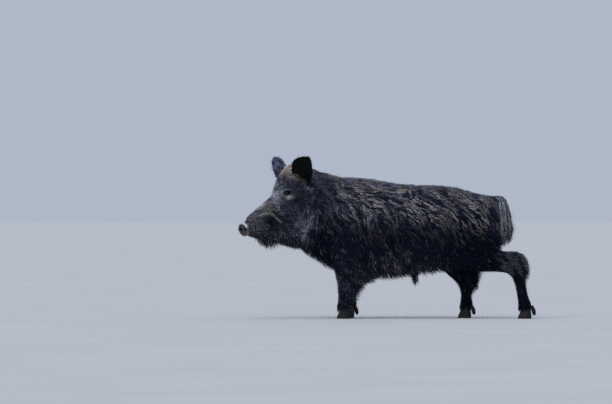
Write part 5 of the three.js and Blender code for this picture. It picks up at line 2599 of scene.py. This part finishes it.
@dataclass(frozen=True)
class LooseHairs:
    """Single curved hairs set one by one, such as whiskers and lashes, by Geometry Nodes."""

    name: str
    thickness: float  # half the width at the root
    bend: float  # how far a hair of length one bows to the side
    steps: int = 7
    sides: int = 3  # corners of its section
    patch: float = 0.0015  # size of a hair's patch on the map

    def tree(self) -> bpy.types.NodeTree:
        """One tapered bowed hair on every point, turned, sized and realized.

        Returns:
            The node tree.
        """
        tree = bpy.data.node_groups.new(f"{self.name}_nodes", "GeometryNodeTree")
        kinds = {"Geometry": "Geometry", "Thickness": "Float", "Bend": "Float", "Steps": "Int",
                 "Material": "Material"}
        for label, kind in kinds.items():
            tree.interface.new_socket(label, in_out="INPUT", socket_type=f"NodeSocket{kind}")
        tree.interface.new_socket("Geometry", in_out="OUTPUT", socket_type="NodeSocketGeometry")
        given = add(tree, "NodeGroupInput").outputs
        middle = add(tree, "ShaderNodeCombineXYZ", {"X": given["Bend"], "Z": 0.5}).outputs[0]
        line = add(tree, "GeometryNodeCurveQuadraticBezier", {
            "Resolution": given["Steps"], "Start": (0, 0, 0), "Middle": middle, "End": (0, 0, 1)})
        along = add(tree, "GeometryNodeSplineParameter").outputs["Factor"]
        taper = add(tree, "ShaderNodeMapRange", {"Value": along, "To Min": 1.0, "To Max": 0.12})
        thin = add(tree, "GeometryNodeSetCurveRadius", {
            "Curve": line.outputs[0], "Radius": taper.outputs[0]})
        section = add(tree, "GeometryNodeCurvePrimitiveCircle", {
            "Resolution": self.sides, "Radius": given["Thickness"]})
        hair = add(tree, "GeometryNodeCurveToMesh", {
            "Curve": thin.outputs[0], "Profile Curve": section.outputs[0], "Fill Caps": True})
        if "Scale" in hair.inputs:
            radius = add(tree, "GeometryNodeInputRadius").outputs[0]
            tree.links.new(radius, hair.inputs["Scale"])
        way = add(tree, "GeometryNodeInputNamedAttribute", {"Name": "Way"}, data_type="FLOAT_VECTOR")
        size = add(tree, "GeometryNodeInputNamedAttribute", {"Name": "Size"}, data_type="FLOAT")
        aim = add(tree, "FunctionNodeAlignRotationToVector", {"Vector": way.outputs[0]}, axis="Z")
        copies = add(tree, "GeometryNodeInstanceOnPoints", {
            "Points": given["Geometry"], "Instance": hair.outputs[0], "Rotation": aim.outputs[0],
            "Scale": size.outputs[0]})
        real = add(tree, "GeometryNodeRealizeInstances", {"Geometry": copies.outputs[0]})
        finished = add(tree, "GeometryNodeSetMaterial", {
            "Geometry": real.outputs[0], "Material": given["Material"]})
        add(tree, "NodeGroupOutput", {"Geometry": finished.outputs[0]})
        return tree

    def build(
        self, roots: Array, ways: Array, lengths: Array, colours: Array, spots: Array, finish: Material
    ) -> None:
        """Sets the hairs and makes them one plain mesh.

        Args:
            roots: where each grows.
            ways: the direction of each.
            lengths: the length of each.
            colours: the colour of each.
            spots: the place of each on the hide's unwrap.
            finish: the material.
        """
        seeds = bpy.data.meshes.new(f"{self.name}_roots")
        seeds.from_pydata(roots.tolist(), [], [])
        for label, kind, values in (("Way", "FLOAT_VECTOR", ways), ("Size", "FLOAT", lengths)):
            layer = seeds.attributes.new(label, kind, "POINT")
            layer.data.foreach_set("vector" if values.ndim == 2 else "value", values.astype("f").ravel())
        holder = make_object(f"{self.name}_holder", seeds)
        modifier = holder.modifiers.new("grow", "NODES")
        modifier.node_group = self.tree()
        sockets = {s.name: s.identifier for s in modifier.node_group.interface.items_tree
                   if s.in_out == "INPUT"}
        modifier[sockets["Thickness"]] = self.thickness / float(lengths.mean())
        modifier[sockets["Bend"]] = self.bend
        modifier[sockets["Steps"]] = self.steps
        modifier[sockets["Material"]] = finish
        graph = bpy.context.evaluated_depsgraph_get()
        mesh = bpy.data.meshes.new_from_object(holder.evaluated_get(graph))
        bpy.data.objects.remove(holder)
        mesh.name = self.name
        each = len(mesh.vertices) // len(roots)
        paint(mesh, np.repeat(colours, each, axis=0))
        for layer in list(mesh.uv_layers):
            mesh.uv_layers.remove(layer)
        corner = read(mesh.loops, "vertex_index", 1, np.int32)[:, 0]
        turn = (corner % self.sides) / self.sides * 2 * math.pi
        flat = np.repeat(spots, each, axis=0)[corner] + columns_of(np.cos(turn), np.sin(turn)) * self.patch
        unwrap(mesh, flat)
        dressed(self.name, shade_smooth(mesh), "face_hair", finish)


@dataclass(frozen=True)
class Whiskers:
    """The stiff single hairs of lips, chin, cheeks and brows, and the lashes."""

    pelt: Pelt
    anatomy: Anatomy
    sockets: tuple[EyeSocket, ...]
    atlas: Atlas
    count: int = 170
    seed: int = 71

    def whiskers(self, finish: Material) -> None:
        """Stiff hairs on the muzzle, chin, cheeks and brows.

        Args:
            finish: its material.
        """
        forward, _, height = self.anatomy.head.coords(self.pelt.points)
        density = smooth(0.30, 0.34, forward) * smooth(0.455, 0.44, forward) * smooth(0.60, 0.56, height)
        density = density + 0.9 * smooth(0.24, 0.28, forward) * smooth(0.50, 0.47, height)
        for socket in self.sockets:
            along, up, out = socket.local(self.pelt.points)
            brow = 5 * bell(along, -6 * MM, 13 * MM) * bell(up, 21 * MM, 6 * MM)
            below = 4 * bell(along, 4 * MM, 16 * MM) * bell(up, -30 * MM, 8 * MM)
            density = density + (brow + below) * (out > -0.02)
        roots = sow(self.pelt, {}, density * self.pelt.share(Part.HEAD), self.count, self.seed)
        rng = np.random.default_rng(self.seed)
        ways = unit(roots.lie + roots.normals * 0.75 + rng.normal(0, 0.14, roots.points.shape))
        lengths = (16 + 22 * rng.random(len(ways))) * MM
        dark = rng.random(len(ways)) < 0.6
        colours = np.where(dark[:, None], srgb("#0c0b0c"), srgb("#8d8a8a"))
        spots = self.atlas.place(roots.points, roots.part, roots.inner)
        LooseHairs("whiskers", 0.38 * MM, 0.10).build(
            roots.points - roots.normals * MM, ways, lengths, colours, spots, finish
        )

    def lashes(self, finish: Material) -> None:
        """Lashes along the upper lids, and a few below.

        Args:
            finish: its material.
        """
        roots, ways, lengths = [], [], []
        rng = np.random.default_rng(self.seed + 1)
        for socket in self.sockets:
            for count, tall, sign, long in ((34, socket.upper, 1, 12.5), (12, socket.lower, -1, 5.5)):
                for k in range(count):
                    turn = math.pi * (0.08 + 0.84 * (k + 0.5) / count)
                    x = -1.02 * socket.half_length * math.cos(turn)
                    y = sign * (tall * math.sin(turn) ** 1.15 + 0.7 * MM) - MM * x / socket.half_length
                    out = math.sqrt(max(socket.radius**2 - x * x - y * y, 25e-6)) + 2.3 * MM
                    place = x * socket.corner + y * socket.upright + out * socket.gaze
                    roots.append(socket.centre + place)
                    way = socket.gaze + sign * socket.upright * 0.28 + rng.normal(0, 0.07, 3)
                    way = way + socket.corner * (0.30 + 0.35 * x / socket.half_length)
                    ways.append(unit(way - np.array([0, 0, 0.34 * (sign > 0)])))
                    lengths.append(long * (0.65 + 0.35 * math.sin(turn)) * rng.uniform(0.85, 1.1) * MM)
        points = np.array(roots)
        spots = self.atlas.place(points, np.full(len(points), Part.LID.value), np.zeros(len(points)))
        colours = np.tile(srgb("#0a090a"), (len(points), 1))
        LooseHairs("lashes", 0.24 * MM, 0.12, steps=6).build(
            points, np.array(ways), np.array(lengths), colours, spots, finish
        )


# ---- Finishes ----


@dataclass(frozen=True)
class Finish:
    """A material whose colour, gloss and relief vary with one noise over the object."""

    name: str
    grain: float  # size of the noise's patches, in metres
    shade: tuple[float, float] = (1.0, 1.0)  # brightness by the noise
    rough: tuple[float, float] = (0.5, 0.5)  # roughness by the noise
    stretch: tuple[float, float, float] = (1.0, 1.0, 1.0)  # factors on the noise's three axes
    detail: float = 2.0
    cells: float = 0.0  # size of small raised cells, or 0
    bump: float = 0.0  # depth of the relief, in metres
    stops: tuple[tuple[float, str], ...] = ()  # colours by the noise, or by the eye's radius
    reach: float = 0.0  # the eye's radius at the last colour, or 0
    settings: tuple[tuple[str, float], ...] = ()  # the shader's own sockets

    def build(self) -> Material:
        """Makes the material and its nodes.

        Returns:
            The material.
        """
        material = bpy.data.materials.new(self.name)
        material.use_nodes = True
        tree = material.node_tree
        surface = tree.nodes["Principled BSDF"].inputs
        for key, value in self.settings:
            surface[key].default_value = value
        place = add(tree, "ShaderNodeTexCoord").outputs["Object"]
        turned = add(tree, "ShaderNodeMapping", {"Vector": place, "Scale": self.stretch}).outputs[0]
        noise = add(tree, "ShaderNodeTexNoise", {
            "Vector": turned, "Scale": 1 / self.grain, "Detail": self.detail}).outputs[0]
        if self.reach:
            radial = add(tree, "ShaderNodeAttribute", attribute_name="Radial").outputs["Fac"]
            share = add(tree, "ShaderNodeMath", {0: radial, 1: self.reach}, operation="DIVIDE")
            colour = add(tree, "ShaderNodeValToRGB", {0: share.outputs[0]}, stops=self.stops).outputs[0]
        elif self.stops:
            colour = add(tree, "ShaderNodeValToRGB", {0: noise}, stops=self.stops).outputs[0]
        else:
            colour = add(tree, "ShaderNodeAttribute", attribute_name=TONE).outputs["Color"]
        shade = add(tree, "ShaderNodeMapRange", {
            "Value": noise, "From Min": 0.3, "From Max": 0.7, "To Min": self.shade[0],
            "To Max": self.shade[1]}).outputs[0]
        shaded = add(tree, "ShaderNodeVectorMath", {0: colour, 1: shade}, operation="MULTIPLY")
        tree.links.new(shaded.outputs[0], surface["Base Color"])
        if self.rough[0] != self.rough[1]:
            rough = add(tree, "ShaderNodeMapRange", {
                "Value": noise, "From Min": 0.3, "From Max": 0.7, "To Min": self.rough[0],
                "To Max": self.rough[1]})
            tree.links.new(rough.outputs[0], surface["Roughness"])
        else:
            surface["Roughness"].default_value = self.rough[0]
        relief = noise
        if self.cells:
            cells = add(tree, "ShaderNodeTexVoronoi", {"Vector": place, "Scale": 1 / self.cells})
            relief = add(tree, "ShaderNodeMath", {0: cells.outputs[0], 1: noise}).outputs[0]
        if self.bump:
            bump = add(tree, "ShaderNodeBump", {
                "Height": relief, "Strength": 0.6, "Distance": self.bump})
            tree.links.new(bump.outputs[0], surface["Normal"])
        return material


# Keratin bristles, semi-matt; the noise gives single hairs within a tuft their own shade.
BRISTLE = Finish(
    "bristle_keratin", 1.6 * MM, (0.65, 1.4), (0.42, 0.58), detail=1.0,
    settings=(("IOR", 1.55), ("Specular IOR Level", 0.13)),
)
# Hide under short flat fur: grainy with hair, finely cobbled and creased where it is bare.
HIDE = Finish(
    "hide_short_fur", 2.2 * MM, (0.55, 1.5), (0.50, 0.75), detail=3.0, cells=3.4 * MM, bump=0.9 * MM,
    settings=(("IOR", 1.45), ("Specular IOR Level", 0.15)),
)
# Bare snout skin, tough, slightly moist and finely cobbled.
SNOUT = Finish(
    "snout_skin_moist", 6 * MM, (0.6, 1.4), (0.28, 0.60), detail=4.0, cells=1.9 * MM, bump=0.6 * MM,
    settings=(("IOR", 1.42),),
)
# Hoof horn, dark and worn, with upright fibres.
HORN = Finish(
    "hoof_horn_worn", 1.6 * MM, (0.8, 1.2), (0.42, 0.7), (1, 1, 0.14), 3.0, bump=0.4 * MM,
    stops=((0.30, "#08080a"), (0.52, "#131214"), (0.72, "#2e2823")),
    settings=(("IOR", 1.54), ("Specular IOR Level", 0.22)),
)
# Wet eye: nearly black pupil, dark brown iris and a clear hard highlight.
EYE = Finish(
    "eye_wet", 0.9 * MM, (0.7, 1.3), (0.05, 0.05), reach=12.6 * MM,
    stops=((0.20, "#010102"), (0.25, "#120a07"), (0.42, "#180f09"), (0.50, "#060404"),
           (0.60, "#120d0c"), (0.85, "#2a201f")),
    settings=(("IOR", 1.376), ("Specular IOR Level", 0.3), ("Coat Weight", 0.5), ("Coat Roughness", 0.02)),
)
# Matt studio paint, pale, with the faintest cloudiness.
FLOOR = Finish(
    "studio_floor_paint", 0.8, rough=(0.8, 0.9), stops=((0.3, "#b2b3b5"), (0.7, "#b6b7b9")),
)


# ---- Studio ----


@dataclass(frozen=True)
class Studio:
    """Pale floor, soft cool daylight and the camera."""

    centre: tuple[float, float] = (-0.489, 0.699)
    camera_height: float = 0.62
    distance: float = 30.0
    width: float = 3.672
    sensor: float = 36.0
    floor_radius: float = 400.0
    sky: tuple[float, float, float] = (0.60, 0.67, 0.80)
    sky_strength: float = 0.72
    lamp_colour: tuple[float, float, float] = (0.93, 0.96, 1.0)
    # Each lamp's name, strength, spread in degrees, and lean from straight above.
    lamps: tuple[tuple[str, float, float, tuple[float, float, float]], ...] = (
        ("key_soft", 1.9, 60.0, (24, -14, 0)),
        ("front_soft", 0.45, 80.0, (62, -22, 0)),
    )

    def floor(self) -> None:
        """One large disc just under the hooves."""
        bm = bmesh.new()
        bmesh.ops.create_circle(bm, cap_ends=True, segments=96, radius=self.floor_radius)
        bmesh.ops.translate(bm, verts=bm.verts, vec=(0, 0, -0.5 * MM))
        mesh = bpy.data.meshes.new("studio_floor")
        bm.to_mesh(mesh)
        bm.free()
        piece = make_object("studio_floor", mesh)
        mesh.materials.append(FLOOR.build())

    def lights(self) -> None:
        """A pale sky all round and broad soft lamps."""
        world = bpy.data.worlds.new("soft_daylight")
        bpy.context.scene.world = world
        world.use_nodes = True
        background = world.node_tree.nodes["Background"].inputs
        background["Color"].default_value = (*self.sky, 1.0)
        background["Strength"].default_value = self.sky_strength
        for name, energy, spread_angle, lean in self.lamps:
            light = bpy.data.lights.new(name, "SUN")
            light.energy = energy
            light.angle = math.radians(spread_angle)
            light.color = self.lamp_colour
            make_object(name, light).rotation_euler = [math.radians(v) for v in lean]
        bpy.context.scene.view_settings.view_transform = "Standard"
        # Fine hair stays sharp only where no filter smears it.
        bpy.context.scene.cycles.use_denoising = False

    def camera(self) -> None:
        """A long lens level with the animal's left side."""
        lens = bpy.data.cameras.new("camera")
        lens.sensor_width = self.sensor
        lens.lens = self.sensor * self.distance / self.width
        lens.clip_end = 2000.0
        eye = make_object("camera", lens)
        across, height = self.centre
        eye.location = (across, -self.distance, self.camera_height)
        rise = math.atan2(height - self.camera_height, self.distance)
        eye.rotation_euler = (math.pi / 2 + rise, 0.0, 0.0)
        bpy.context.scene.camera = eye


def main() -> None:
    """Builds the animal and its studio."""
    logging.basicConfig(level=logging.INFO)
    anatomy = Anatomy.from_frame()
    depth = CoatDepth(anatomy)
    dock = Dock(anatomy)
    ears = (
        Ear(Side.LEFT, 34, 14, 9, 38 * MM, 18 * MM),
        Ear(Side.RIGHT, -2, 15, 13, 14 * MM, -12 * MM),
    )
    hide = Hide(anatomy, FleshField(depth), Lie(anatomy), ears, dock)
    pelt = hide.build()
    markings = Markings(anatomy, hide.sculpt)
    atlas = Atlas(anatomy)
    paint(pelt.mesh, markings.hide(pelt))
    flesh = (*NODE_PARTS, "ear_left", "ear_right", "tail")
    dressed("hide", pelt.mesh, "coat", HIDE.build(), *flesh)
    bristle = BRISTLE.build()
    Coat(pelt, anatomy, depth, markings, atlas).build(bristle)
    Tassel(dock, atlas).tufts().piece("tail_tassel", "tail_hair", bristle)
    SnoutDisc(anatomy.head).build(SNOUT.build())
    eye = EYE.build()
    for socket in hide.sockets:
        Eyeball(socket).build(eye)
    horn = HORN.build()
    for foot in FEET:
        for place in ("inner", "outer"):
            Claw(f"hoof_{foot}_{place}").build(horn)
            Claw.dewclaw(f"dewclaw_{foot}_{place}").build(horn)
    whiskers = Whiskers(pelt, anatomy, hide.sockets, atlas)
    whiskers.whiskers(bristle)
    whiskers.lashes(bristle)
    studio = Studio()
    studio.floor()
    studio.lights()
    studio.camera()


if __name__ == "__main__":
    main()
